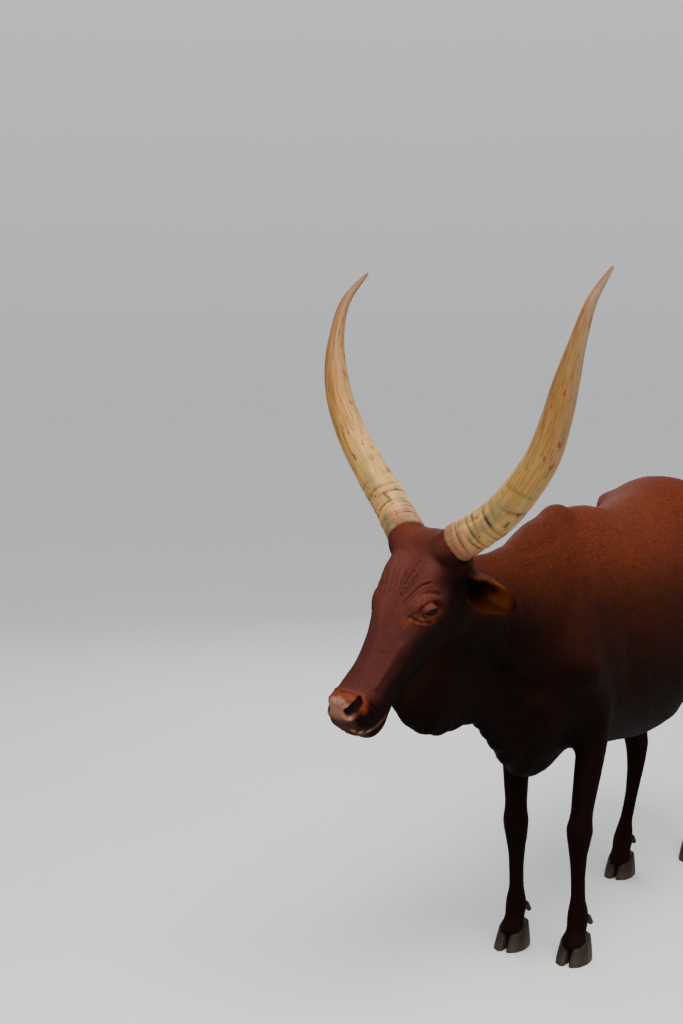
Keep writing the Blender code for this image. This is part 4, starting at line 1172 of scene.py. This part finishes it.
def hairSizes(co, normal):
    # each place's length and width of tuft
    down, _, out = inHead(co).T
    ahead, _, high = inBody(co).T
    head, leg = headness(co), legness(co)
    far, inner = earPlace(co, normal)
    length, width = blend(0.0145, 0.0088, leg), blend(0.0026, 0.0018, leg)
    belly = below(normal[:, 2], -0.8, -0.3) * (1 - leg) * (1 - head)
    hem = below(high, 0.70, 0.80) * smoothStep(ahead, 0.05, 0.2) * (1 - leg)
    length += 0.006 * belly + 0.005 * hem
    faceLength = 0.0042 + 0.0050 * below(down, 0.02, 0.13) + 0.0030 * below(out, -0.2, -0.12)
    faceLength -= 0.0012 * smoothStep(down, 0.40, 0.50)
    length = blend(length, faceLength, head)
    width = blend(width, 0.0012 + 0.0006 * below(down, 0.0, 0.12), head)
    length = np.where(far > 0, np.where(inner > 0.5, 0.012, 0.0060), length)
    width = np.where(far > 0, 0.0011, width)
    length += 0.005 * below(normal[:, 0], -0.9, -0.4) * below(co[:, 2], 0.08, 0.30) * leg
    length += 0.004 * below(co[:, 2], 0.06, 0.085) * leg
    length += 0.014 * below(ahead, -1.31, -1.29) * below(high, 0.80, 1.0) * (high > 0.70)
    return length, width


def lieOf(co, normal):
    # the way that the hair lies
    down, left, out = inHead(co).T
    ahead, _, high = inBody(co).T
    limb = np.maximum(hump(ahead + 0.95, 0.20), hump(ahead - 0.02, 0.13))
    lie = np.tile(np.array([-1.0, 0.0, -0.30]), (len(co), 1))
    for way, share in (
        ((-0.72, 0, -0.60), smoothStep(ahead, -0.05, 0.25)),
        ((-0.35, 0, -0.92), below(high, 0.66, 0.98) * limb),
        ((-0.12, 0, -1.0), legness(co)),
        ((-0.1, 0, -1.0), below(ahead, -1.29, -1.24) * smoothStep(high, 0.62, 0.70)),
    ):
        lie = blend(lie, np.array(way), share[:, None])
    away = unit(np.stack([down - coatPlan["whorl"], left * 0.7, np.zeros(len(co))], 1))
    cheek = below(out, -0.10, -0.045) * (1 - smoothStep(down, 0.38, 0.46))
    facing = blend(away, np.array([-0.55, 0, -0.75]), cheek[:, None]) @ np.array(headTurn).T
    lie = blend(lie, facing, headness(co)[:, None])
    far, _ = earPlace(co, normal)
    for side in sides:
        root, along, _ = (np.array(part) for part in earFrame(side))
        lie[(far > 0) & (distance(co, root) < 0.2) & ((left > 0) == (side > 0))] = along
        base, way = hornRoot(side)
        lie = blend(lie, way, (below(distance(co, base), 0.060, 0.085) * (far <= 0))[:, None])
    return alongSkin(lie, normal)


def furShare(co, normal, marks):
    # 1 where tufts grow, down to 0 on bare skin, in hollows and inside the horns
    share = (1 - smoothStep(marks["bare"], 0.15, 0.45)) * (1 - smoothStep(shadedHollowShare, 0.1, 0.4))
    share *= 1 - smoothStep(marks["pale"], 0.3, 0.6)
    for side in sides:
        base, way = hornRoot(side)
        along = (co - base) @ way
        across = np.linalg.norm(co - base - along[:, None] * way, axis=1)
        share[(along > -0.003) & (across < 0.075) & (along < 0.06)] = 0
        share[distance(co, earFrame(side)[0]) < 0.020] *= 0.5
    share[(co[:, 2] < 0.075) & (normal[:, 2] < -0.5)] = 0
    return share


def blades(name, tufts, look):
    # one mesh of flat five-point tufts
    root, lie, normal = tufts["root"], tufts["lie"], tufts["normal"]
    side = np.cross(normal, lie)
    long, wide, curve = tufts["length"], tufts["width"], tufts["curve"]

    def spot(share, rise):
        run = share * long
        return root + lie * run[:, None] + normal * (rise - 0.5 * curve * run ** 2)[:, None]

    low = root - normal * tufts["sunk"][:, None]
    half = spot(0.45, tufts["rise"])
    tip = spot(1.0, tufts["tipRise"]) + side * (tufts["sway"] * long)[:, None]
    lowWide, halfWide = side * (0.36 * wide)[:, None], side * (0.5 * wide)[:, None]
    spots = np.stack([low - lowWide, low + lowWide, half - halfWide, half + halfWide, tip], 1)
    pattern = np.array([0, 2, 3, 1, 2, 4, 3])
    patch = coatPlan["patch"]
    outline = np.array([(-0.5, 0), (0.5, 0), (-0.5, 0.5), (0.5, 0.5), (0, 1.0)]) * patch - (0, patch / 2)
    flat = np.clip(tufts["uv"][:, None, :] + outline[pattern], 0, 1)
    piece = repeated(name, spots, pattern, [0, 4], flat)
    for mark in coatMarks:
        giveValue(piece.data, mark, np.repeat(tufts[mark], 5))
    up = np.array([0.0, 0.0, 0.45, 0.45, 1.0])
    giveValue(piece.data, "tone", (tufts["tone"][:, None] + 0.45 * up).ravel())
    piece.data.materials.append(look)
    return piece


def growCoat():
    rng = np.random.default_rng(coatPlan["seed"])
    mesh = skin.data
    co, normal = places(mesh), outward(mesh)
    mesh.calc_loop_triangles()
    points, loops = (readField(mesh.loop_triangles, field, 3, np.int32) for field in ("vertices", "loops"))
    length, width = hairSizes(co, normal)
    cover = coatPlan["cover"]
    cover = blend(blend(cover["body"], cover["leg"], skinMarks["leg"]), cover["face"], skinMarks["face"])
    density = furShare(co, normal, skinMarks) * cover / (length * width)
    a, b, c = (co[points[:, k]] for k in range(3))
    area = np.linalg.norm(np.cross(b - a, c - a), axis=1) / 2
    wanted = area * density[points].mean(1)
    number = np.floor(wanted + rng.random(len(wanted))).astype(int)
    of = np.repeat(np.arange(len(points)), number)
    s, t = rng.random(len(of)), rng.random(len(of))
    over = s + t > 1
    s[over], t[over] = 1 - s[over], 1 - t[over]
    weight = np.stack([1 - s - t, s, t], 1)

    def read(values):
        mixed = values[points[of]]
        return (mixed * (weight[:, :, None] if mixed.ndim == 3 else weight)).sum(1)

    n = read(normal)
    n /= np.linalg.norm(n, axis=1)[:, None]
    way = alongSkin(read(lieOf(co, normal)) + rng.normal(0, coatPlan["scatter"], (len(of), 3)), n)
    # how much the skin bends along each tuft, from the change of its normals
    first, second = (b - a)[of], (c - a)[of]
    long, cross, wide = (first * first).sum(1), (first * second).sum(1), (second * second).sum(1)
    onFirst, onSecond = (way * first).sum(1), (way * second).sum(1)
    whole = np.maximum(long * wide - cross * cross, 1e-16)
    byFirst = (onFirst * wide - onSecond * cross) / whole
    bySecond = (onSecond * long - onFirst * cross) / whole
    change = byFirst[:, None] * (normal[points[of, 1]] - normal[points[of, 0]])
    change += bySecond[:, None] * (normal[points[of, 2]] - normal[points[of, 0]])
    uv = readField(mesh.uv_layers["OFBake"].data, "uv", 2)[loops[of]]
    long = read(length) * rng.uniform(0.75, 1.25, len(of))
    small = np.clip(long / 0.014, 0.25, 1)
    tufts = {
        "root": read(co), "normal": n, "lie": way, "length": long,
        "width": read(width) * rng.uniform(0.8, 1.2, len(of)),
        "curve": np.clip((change * way).sum(1), -40, 90),
        "sunk": coatPlan["sunk"] * small, "rise": coatPlan["rise"] * small * rng.uniform(0.5, 1.2, len(of)),
        "tipRise": coatPlan["tipRise"] * small * rng.uniform(-0.4, 1.6, len(of)),
        "sway": rng.normal(0, 0.06, len(of)), "tone": rng.uniform(0, 0.5, len(of)),
        "uv": (uv * weight[:, :, None]).sum(1),
    }
    for mark in coatMarks:
        tufts[mark] = read(skinMarks[mark])
    order = np.argsort(tufts["root"][:, 0])
    total = len(order)
    pieces = -(-total // coatPlan["perPiece"])
    for k, chosen in enumerate(np.array_split(order, pieces)):
        piece = blades(f"coat_{k + 1}", {key: value[chosen] for key, value in tufts.items()}, coatLook)
        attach(piece, "root")
    print("coat grown", total, "tufts in", pieces, "pieces")


growCoat()


# The eyes: dark wet balls with a slit lying across them

eyeLook = {"radius": 0.0199, "cornea": 0.0011, "iris": 0.0132, "pupil": (0.0074, 0.0030), "ior": 1.16}


def makeEyes():
    bm = bmesh.new()
    band = []
    for side in sides:
        spot, out, corner, rise = eyeFrame(side)
        out = (out + headTurn @ Vector((0.02, 0, 0.02))).normalized()
        turn = Matrix((corner, rise, out)).transposed().to_4x4()
        ball = bmesh.ops.create_uvsphere(bm, u_segments=72, v_segments=56, radius=eyeLook["radius"])
        for vert in ball["verts"]:
            across = math.hypot(vert.co.x, vert.co.y)
            if vert.co.z > 0:
                vert.co.z += eyeLook["cornea"] * max(0.0, 1 - (across / eyeLook["iris"]) ** 2)
            u, v = vert.co.x / eyeLook["pupil"][0], vert.co.y / eyeLook["pupil"][1]
            pupil = max(0.0, min(1.0, 1.6 - (u ** 4 + v * v) ** 0.5))
            iris = max(0.0, min(1.0, (eyeLook["iris"] - across) / 0.0016))
            band.append((iris * (vert.co.z > 0), pupil * (vert.co.z > 0)))
        bmesh.ops.transform(bm, matrix=Matrix.Translation(spot) @ turn, verts=ball["verts"])
    eyes = objectFrom(bm, "eyes")
    made, tree = newMaterial("wet eye")
    for name, values in zip(("iris", "pupil"), zip(*band)):
        giveValue(eyes.data, name, values)
    shadeSmooth(eyes.data)
    fibres = stretched(tree, (900, 900, 900), 2.0)
    ring = mixColour(tree, fibres, (0.004, 0.002, 0.0015), (0.013, 0.006, 0.003))
    colour = mixColour(tree, attribute(tree, "iris"), (0.008, 0.005, 0.004), ring)
    colour = mixColour(tree, attribute(tree, "pupil"), colour, (0.001, 0.001, 0.0015))
    feed(finishLook(tree, colour, 0.06)["IOR"], eyeLook["ior"])
    eyes.data.materials.append(made)
    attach(eyes, "root")
    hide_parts("eye_left", "eye_right")


# Each row of lashes: the upper or lower lid, how many and how long
lashPlan = {"seed": 5, "rows": ((1, 46, 0.0105), (-1, 26, 0.0055)), "halfWidth": 0.00030}


def makeLashes():
    # short dark lashes along the rims of the lids
    rng = np.random.default_rng(lashPlan["seed"])
    bm = bmesh.new()
    radius = headPose["eyeRadius"] + eyePlan["lidThick"] - 0.0002
    for side in sides:
        spot, out, corner, rise = eyeFrame(side)
        for above, count, long in lashPlan["rows"]:
            for u in np.linspace(-0.84, 0.86, count) * eyePlan["halfLength"]:
                high = lidEdges(u)[above < 0] + above * 0.0006
                deep = math.sqrt(max(radius ** 2 - u * u - high * high, 0))
                root = spot + corner * u + rise * high + out * deep
                lean = corner * (u / eyePlan["halfLength"] * 0.55 + rng.normal(0, 0.10))
                first = (out * 0.95 + rise * above * 0.20 + lean).normalized()
                then = (out * 0.62 + rise * above * 0.80 + lean).normalized()
                size = long * rng.uniform(0.75, 1.15)
                wide = corner * lashPlan["halfWidth"]
                middle = root + first * size * 0.5
                tip = middle + then * size * 0.5
                spots = (root - wide, root + wide, middle + wide * 0.8, middle - wide * 0.8, tip)
                verts = [bm.verts.new(place) for place in spots]
                bm.faces.new(verts[:4])
                bm.faces.new((verts[3], verts[2], verts[4]))
    lashes = objectFrom(bm, "lashes")
    made, tree = newMaterial("lash")
    grain = stretched(tree, (300, 300, 300))
    finishLook(tree, mixColour(tree, grain, (0.006, 0.003, 0.002), (0.020, 0.009, 0.005)), 0.55, 0.06)
    lashes.data.materials.append(made)
    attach(lashes, "root")


makeEyes()
makeLashes()
print("eyes made")


# The horns: ringed at the base, smooth and worn above

hornPlan = {
    "steps": 400, "columns": 96, "rows": 420, "sunk": 0.010,
    # each ring's place up the horn, and its depth
    "rings": ((0.007, 0.0008), (0.013, 0.0010), (0.020, 0.0012), (0.029, 0.0022), (0.040, 0.0014),
              (0.053, 0.0030), (0.068, 0.0018), (0.082, 0.0032), (0.101, 0.0020), (0.126, 0.0026),
              (0.158, 0.0013), (0.196, 0.0016), (0.250, 0.0008)),
    "ringWidth": 0.0036,
}


def hornSurface(side, local):
    # a flat grid's points wound round one horn, and what the horn's look needs at each
    points = smoothWay(hornPoints(side), hornPlan["steps"])
    steps = np.linspace(0, len(hornWay) - 1, hornPlan["steps"])
    radii = profile(list(enumerate(p[3] for p in hornWay)))(steps)
    run = np.concatenate([[0], np.cumsum(np.linalg.norm(np.diff(points, axis=0), axis=1))])
    turn, t = (local[:, 0] + 1) * math.pi, (local[:, 1] + 1) / 2
    way = t * (run[-1] + hornPlan["sunk"]) - hornPlan["sunk"]

    def along(rows):
        return np.stack([np.interp(way, run, rows[:, k]) for k in range(3)], 1)

    first = (points[1] - points[0]) / np.linalg.norm(points[1] - points[0])
    spot = along(points) + np.minimum(way, 0)[:, None] * first
    tangent = unit(along(np.gradient(points, axis=0)))
    fore = np.array(headTurn @ Vector((0.6, 0, 0.8)))
    fore = unit(fore - tangent * (tangent @ fore)[:, None])
    beside = np.cross(tangent, fore)
    wobble = 1 + 0.010 * np.sin(2 * turn + 7 * way) + 0.006 * np.sin(3 * turn - 19 * way + side)
    radius = np.interp(way, run, radii) * wobble
    groove = np.zeros(len(way))
    for k, (place, depth) in enumerate(hornPlan["rings"]):
        wander = 0.12 * np.sin(turn + k) + 0.05 * np.sin(3 * turn + 2 * k + side)
        tilt = place + 0.16 * place ** 0.7 * wander
        far = (way - tilt) / (hornPlan["ringWidth"] * (1 + 6 * place))
        opened = 0.55 + 0.45 * np.sin(turn * (1 + k % 2) + 2.1 * k + side)
        radius += depth * opened * (-np.exp(-far ** 2) + 0.5 * hump(far - 2.4, 1.5))
        groove = np.maximum(groove, opened * min(1.0, depth / 0.0022) * hump(far, 0.8))
    ribs = np.sin(turn * 17 + 4 * np.sin(turn * 3)) + 0.6 * np.sin(turn * 29 + 2)
    radius += 0.00016 * ribs * smoothStep(way, 0.05, 0.2)
    rim = np.sqrt(np.clip(1 - (np.maximum(-way, 0) / (hornPlan["sunk"] * 1.001)) ** 2, 0, 1))
    radius = np.where(way < 0, radius * (0.82 + 0.18 * rim), radius)
    tip = np.clip((run[-1] - way) / 0.004, 0, 1)
    radius = radius * np.sqrt(np.clip(1 - (1 - tip) ** 2, 0, 1))
    co = spot + radius[:, None] * (np.cos(turn)[:, None] * fore + np.sin(turn)[:, None] * beside)
    return co, (np.cos(turn), np.sin(turn), way, np.full(len(way), side), groove)


hornValues = ("aroundX", "aroundY", "along", "twin", "groove")


def makeHorns():
    bm = bmesh.new()
    found = []
    columns, rows = hornPlan["columns"], hornPlan["rows"]
    for side in sides:
        grid = bmesh.ops.create_grid(bm, x_segments=columns, y_segments=rows, size=1.0)
        co, values = hornSurface(side, np.array([vert.co for vert in grid["verts"]]))
        for vert, place in zip(grid["verts"], co):
            vert.co = place
        found.append(values)
    horns = objectFrom(bm, "horns")
    for name, both in zip(hornValues, zip(*found)):
        giveValue(horns.data, name, np.concatenate(both))
    bm = bmesh.new()
    bm.from_mesh(horns.data)
    closeUp(bm, 0.00002)
    bm.to_mesh(horns.data)
    bm.free()
    shadeSmooth(horns.data)
    horns.data.materials.append(hornMaterial())
    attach(horns, "root")
    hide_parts("horn_left", "horn_right")


def hornMaterial():
    made, tree = newMaterial("worn horn")
    x, y, along, twin, groove = (attribute(tree, name) for name in hornValues)

    def grain(across, lengthwise, detail, distortion):
        place = tree.nodes.new("ShaderNodeCombineXYZ")
        for i, value in enumerate((x * across, y * across, along * lengthwise + twin * 7.3)):
            feed(place.inputs[i], value)
        return noiseAt(tree, Value(place.outputs[0]), detail, distortion)

    def mixed(share, first, second, blending="MIX"):
        return mixColour(tree, share, first, second, blending)

    fine, broad, cracks = grain(9, 12, 5.0, 0.8), grain(2.6, 9, 4.0, 0.5), grain(1.6, 60, 5.0, 1.1)
    base = ramp(along * 1.05, (
        (0.00, (0.170, 0.062, 0.030)), (0.035, (0.360, 0.155, 0.068)), (0.08, (0.450, 0.250, 0.075)),
        (0.34, (0.440, 0.240, 0.056)), (0.55, (0.310, 0.150, 0.044)), (0.80, (0.190, 0.086, 0.038)),
        (0.96, (0.095, 0.040, 0.024))))
    streaked = ramp(fine, ((0.36, (0.46, 0.40, 0.27)), (0.60, (1.05, 1.04, 1.0))))
    lower = (1.0 - along * 2.6).clamped()
    beforeTip = ((0.98 - along).clamped() * 4.5).clamped()
    colour = mixed((0.9 - lower * 0.65) * beforeTip, base, streaked, "MULTIPLY")
    # the horn on the animal's left is darker and greyer towards the tip, and the right one a little, partly
    # as weathering and partly as painted shade; the outer side of each is mixed to olive-grey as much,
    # partly its own colour and partly painted shade on the side away from the light
    outer = (((y * 0.62 - x * 0.73) + 0.05).clamped() * 1.5).clamped()
    wornAndShaded = (twin.atLeast(0.25) * along).clamped()
    colour = mixed(wornAndShaded * 0.85, colour, mixed(1.0, colour, (0.46, 0.42, 0.34), "MULTIPLY"))
    greyAndShade = (outer * (wornAndShaded * 1.5).clamped()).clamped()
    colour = mixed(greyAndShade * 0.85, colour, (0.125, 0.110, 0.064))
    patches = ((broad - 0.47).clamped() * 7.0).clamped()
    colour = mixed((patches * (lower * 0.75 + 0.20)).clamped(), colour, (0.150, 0.145, 0.066))
    rust = greyRamp(grain(2.4, 15, 5.0, 0.6), (0.52, 0), (0.63, 1))
    rusty = rust * (x * -0.35 + 0.55).clamped() * beforeTip
    colour = mixed(rusty, colour, (0.300, 0.105, 0.028))
    spots = greyRamp(grain(3.6, 30, 2.0, 0.3), (0.64, 0), (0.69, 1))
    colour = mixed(spots * beforeTip * 0.85, colour, (0.130, 0.026, 0.010))
    crack = greyRamp(cracks, (0.53, 0), (0.575, 0.42), (0.64, 0))
    cracked = ((crack * lower).atLeast(groove) * (broad * 1.5 + 0.1)).clamped()
    colour = mixed(cracked, colour, (0.034, 0.021, 0.009))
    even = (1.0 - along * 1.15).clamped()
    height = fine * 0.0008 * even - cracked * 0.0008
    finishLook(tree, colour, broad * 0.25 + lower * 0.12 + 0.32, 0.14, height, 0.7)
    return made


makeHorns()
print("horns made")


# Hooves and udder: smooth copies of their solids

def smoothCopy(name, parts, voxel, rounds):
    piece = evenPiece(joinedSolids(parts), name, voxel)
    relax(piece.data, 1.0, rounds, (0.6, -0.3))
    shadeSmooth(piece.data)
    return piece


hoofPlan = {"voxel": 0.0024, "rounds": 7, "sole": 0.0035, "rings": 640}


def makeHooves():
    claws = [node for node in nodes if "claw" in node]
    hooves = smoothCopy("hooves", claws, hoofPlan["voxel"], hoofPlan["rounds"])
    co = places(hooves.data)
    co[:, 2] = np.where(co[:, 2] < hoofPlan["sole"], 0.0, co[:, 2])
    setPlaces(hooves.data, co)
    made, tree = newMaterial("hoof horn")
    node = tree.nodes.new("ShaderNodeSeparateXYZ")
    feed(node.inputs[0], objectPlace(tree))
    height = Value(node.outputs["Z"])
    wander = stretched(tree, (14, 14, 14), 2.0)
    level = height * hoofPlan["rings"] + wander * 16
    rings = level.joined("SINE", level, 0.0)
    streaks = stretched(tree, (420, 420, 20))
    colour = mixColour(tree, streaks, (0.006, 0.004, 0.003), (0.030, 0.020, 0.014))
    dusty = greyRamp(height, (0.0, 1), (0.035, 0)) * (wander * 0.8)
    colour = mixColour(tree, dusty, colour, (0.060, 0.042, 0.027))
    finishLook(tree, colour, streaks * 0.25 + 0.36, 0.08, rings * 0.0002 + streaks * 0.0006)
    hooves.data.materials.append(made)
    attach(hooves, "root")
    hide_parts(*claws)


udderPlan = {"voxel": 0.0032, "rounds": 10}


def makeUdder():
    udder = smoothCopy("udder_skin", ["udder"], udderPlan["voxel"], udderPlan["rounds"])
    made, tree = newMaterial("thin bare skin")
    mottle = stretched(tree, (30, 30, 30), 4.0)
    colour = mixColour(tree, mottle, (0.150, 0.062, 0.046), (0.330, 0.170, 0.130))
    height = pores(tree, 260) * 0.0007 + mottle * 0.003
    shader = finishLook(tree, colour, mottle * 0.2 + 0.42, height=height)
    feed(shader["Subsurface Weight"], 0.08)
    feed(shader["Subsurface Scale"], 0.01)
    udder.data.materials.append(made)
    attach(udder, "root")
    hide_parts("udder")


makeHooves()
makeUdder()
print("hooves and udder made")


# The brush of the tail: long thin locks of coarse hair

switchPlan = {
    "locks": 900, "strands": 30, "rings": 9, "width": 0.0040, "seed": 23,
    "above": 0.016, "spread": 0.66,    # how far above the solid the locks start, and over what share of it
    "long": (0.12, 0.31), "deep": (0.10, 1.0), "wave": (0.0020, 0.0065), "swing": 0.12,
    "slices": 12, "slice": 0.045,
}


def brushMaterial():
    made, tree = newMaterial("coarse tail hair")
    strands = stretched(tree, (1100, 1100, 40))
    share = (attribute(tree, "tone") * 0.5 + strands * 0.5).clamped()
    colour = mixColour(tree, share, (0.006, 0.0027, 0.0022), (0.050, 0.016, 0.008))
    finishLook(tree, colour, 0.50, 0.12, strands * 0.0012)
    return made


def makeSwitch():
    rng = np.random.default_rng(switchPlan["seed"])
    low, high = (np.array(corner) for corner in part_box("tail_switch"))
    solid = places(nodes["tail_switch"].data)
    levels = np.linspace(high[2] - 0.004, low[2] + 0.010, switchPlan["slices"])
    slices = [solid[np.abs(solid[:, 2] - level) < switchPlan["slice"]] for level in levels]
    middles = np.array([((ring.min(0) + ring.max(0)) / 2)[:2] for ring in slices])
    reach = np.array([(ring.max(0) - ring.min(0))[:2] / 2 for ring in slices])
    count, rings, strands = switchPlan["locks"], switchPlan["rings"], switchPlan["strands"]
    strand = rng.integers(0, strands, count)
    angle = rng.uniform(0, 2 * math.pi, strands)[strand] + rng.normal(0, 0.12, count)
    deep = np.sqrt(rng.uniform(*switchPlan["deep"], count))
    fall = rng.beta(0.9, 2.0, count) * (high[2] - low[2]) * switchPlan["spread"]
    top = high[2] + switchPlan["above"] - fall
    long = rng.uniform(*switchPlan["long"], count)
    end = np.maximum(top - long, low[2] + 0.002 + rng.uniform(0, 0.05, count) ** 1.2)
    swing = rng.normal(0, switchPlan["swing"], (count, 2))[:, 0]
    phase = rng.uniform(0, 6.28, strands)[strand] + rng.normal(0, 0.3, count)
    wave = rng.uniform(*switchPlan["wave"], count)
    loose = rng.normal(0, 0.24, strands)[strand] + rng.normal(0, 0.05, count)
    spots = np.empty((count, rings, 2, 3))

    def atLevel(z, rows):
        return np.stack([np.interp(-z, -levels, rows[:, j]) for j in range(2)], 1)

    for k, t in enumerate(np.linspace(0, 1, rings)):
        z = top + (end - top) * t
        spread = deep * (0.80 + 0.16 * t) * (1 + loose * math.sin(3.0 * t))
        turn = angle + swing * t
        outwards = np.stack([np.cos(turn), np.sin(turn)], 1)
        sideways = np.stack([-np.sin(turn), np.cos(turn)], 1)
        spot = atLevel(z, middles) + outwards * atLevel(z, reach) * spread[:, None]
        spot += (wave * np.sin(phase + 5.5 * t))[:, None] * sideways
        wide = switchPlan["width"] * (1 - t ** 2.2) * (0.55 + 0.45 * min(1, t * 5)) / 2
        for j, edge in enumerate((-1, 1)):
            spots[:, k, j, :2] = spot + sideways * edge * wide
            spots[:, k, j, 2] = z
    points = rings * 2
    pattern = np.array([[2 * k, 2 * k + 1, 2 * k + 3, 2 * k + 2] for k in range(rings - 1)]).ravel()
    columns = math.ceil(math.sqrt(count))
    cell = np.stack([np.arange(count) % columns, np.arange(count) // columns], 1) / columns
    strip = [((v % 2) * 0.8 + 0.1, (v // 2) / (rings - 1) * 0.8 + 0.1) for v in range(points)]
    brush = repeated("tail_brush", spots.reshape(count, points, 3), pattern, np.arange(0, len(pattern), 4),
                     cell[:, None, :] + (np.array(strip) / columns)[pattern])
    giveValue(brush.data, "tone", np.repeat(rng.uniform(0, 1, count), points))
    brush.data.materials.append(brushMaterial())
    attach(brush, "root")
    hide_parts("tail_switch")


makeSwitch()
print("tail brush made")


# Floor, backdrop and light

stagePlan = {
    "floor": 40, "aim": (-0.2, 0, 0.9),
    # each light's name, place, size, power and colour
    "lights": (
        ("key", (1.4, 1.2, 4.4), 3.0, 340, (1.0, 0.975, 0.94)),
        ("front", (4.6, 3.6, 2.6), 3.5, 45, (1.0, 0.985, 0.97)),
        ("back", (-3.6, -2.6, 3.6), 3.0, 110, (0.95, 0.97, 1.0)),
    ),
}


def addStage():
    bm = bmesh.new()
    bmesh.ops.create_grid(bm, x_segments=1, y_segments=1, size=stagePlan["floor"])
    floor = objectFrom(bm, "floor")
    made, tree = newMaterial("pale floor")
    tint = stretched(tree, (1.2, 1.2, 1.2), 2.0)
    finishLook(tree, mixColour(tree, tint, (0.56, 0.56, 0.55), (0.59, 0.59, 0.58)), 0.85)
    floor.data.materials.append(made)
    world = bpy.data.worlds.new("studio")
    bpy.context.scene.world = world
    world.use_nodes = True
    # a pale sky, lighter overhead, that meets the floor with no hard line
    tree = world.node_tree
    sky = tree.nodes["Background"].inputs
    feed(sky["Color"], (0.96, 0.975, 1.0))
    way = tree.nodes.new("ShaderNodeSeparateXYZ")
    feed(way.inputs[0], Value(tree.nodes.new("ShaderNodeTexCoord").outputs["Generated"]))
    feed(sky["Strength"], Value(way.outputs["Z"]).atLeast(0.0) * 0.60 + 0.58)
    for name, place, size, energy, tint in stagePlan["lights"]:
        lamp = bpy.data.lights.new(name, "AREA")
        lamp.size = size
        lamp.energy = energy
        lamp.color = tint
        place = Vector(place) + bodyShift
        aim = Vector(stagePlan["aim"]) + bodyShift - place
        addObject(name, lamp, place, aim.to_track_quat("-Z", "Y").to_euler())


addStage()
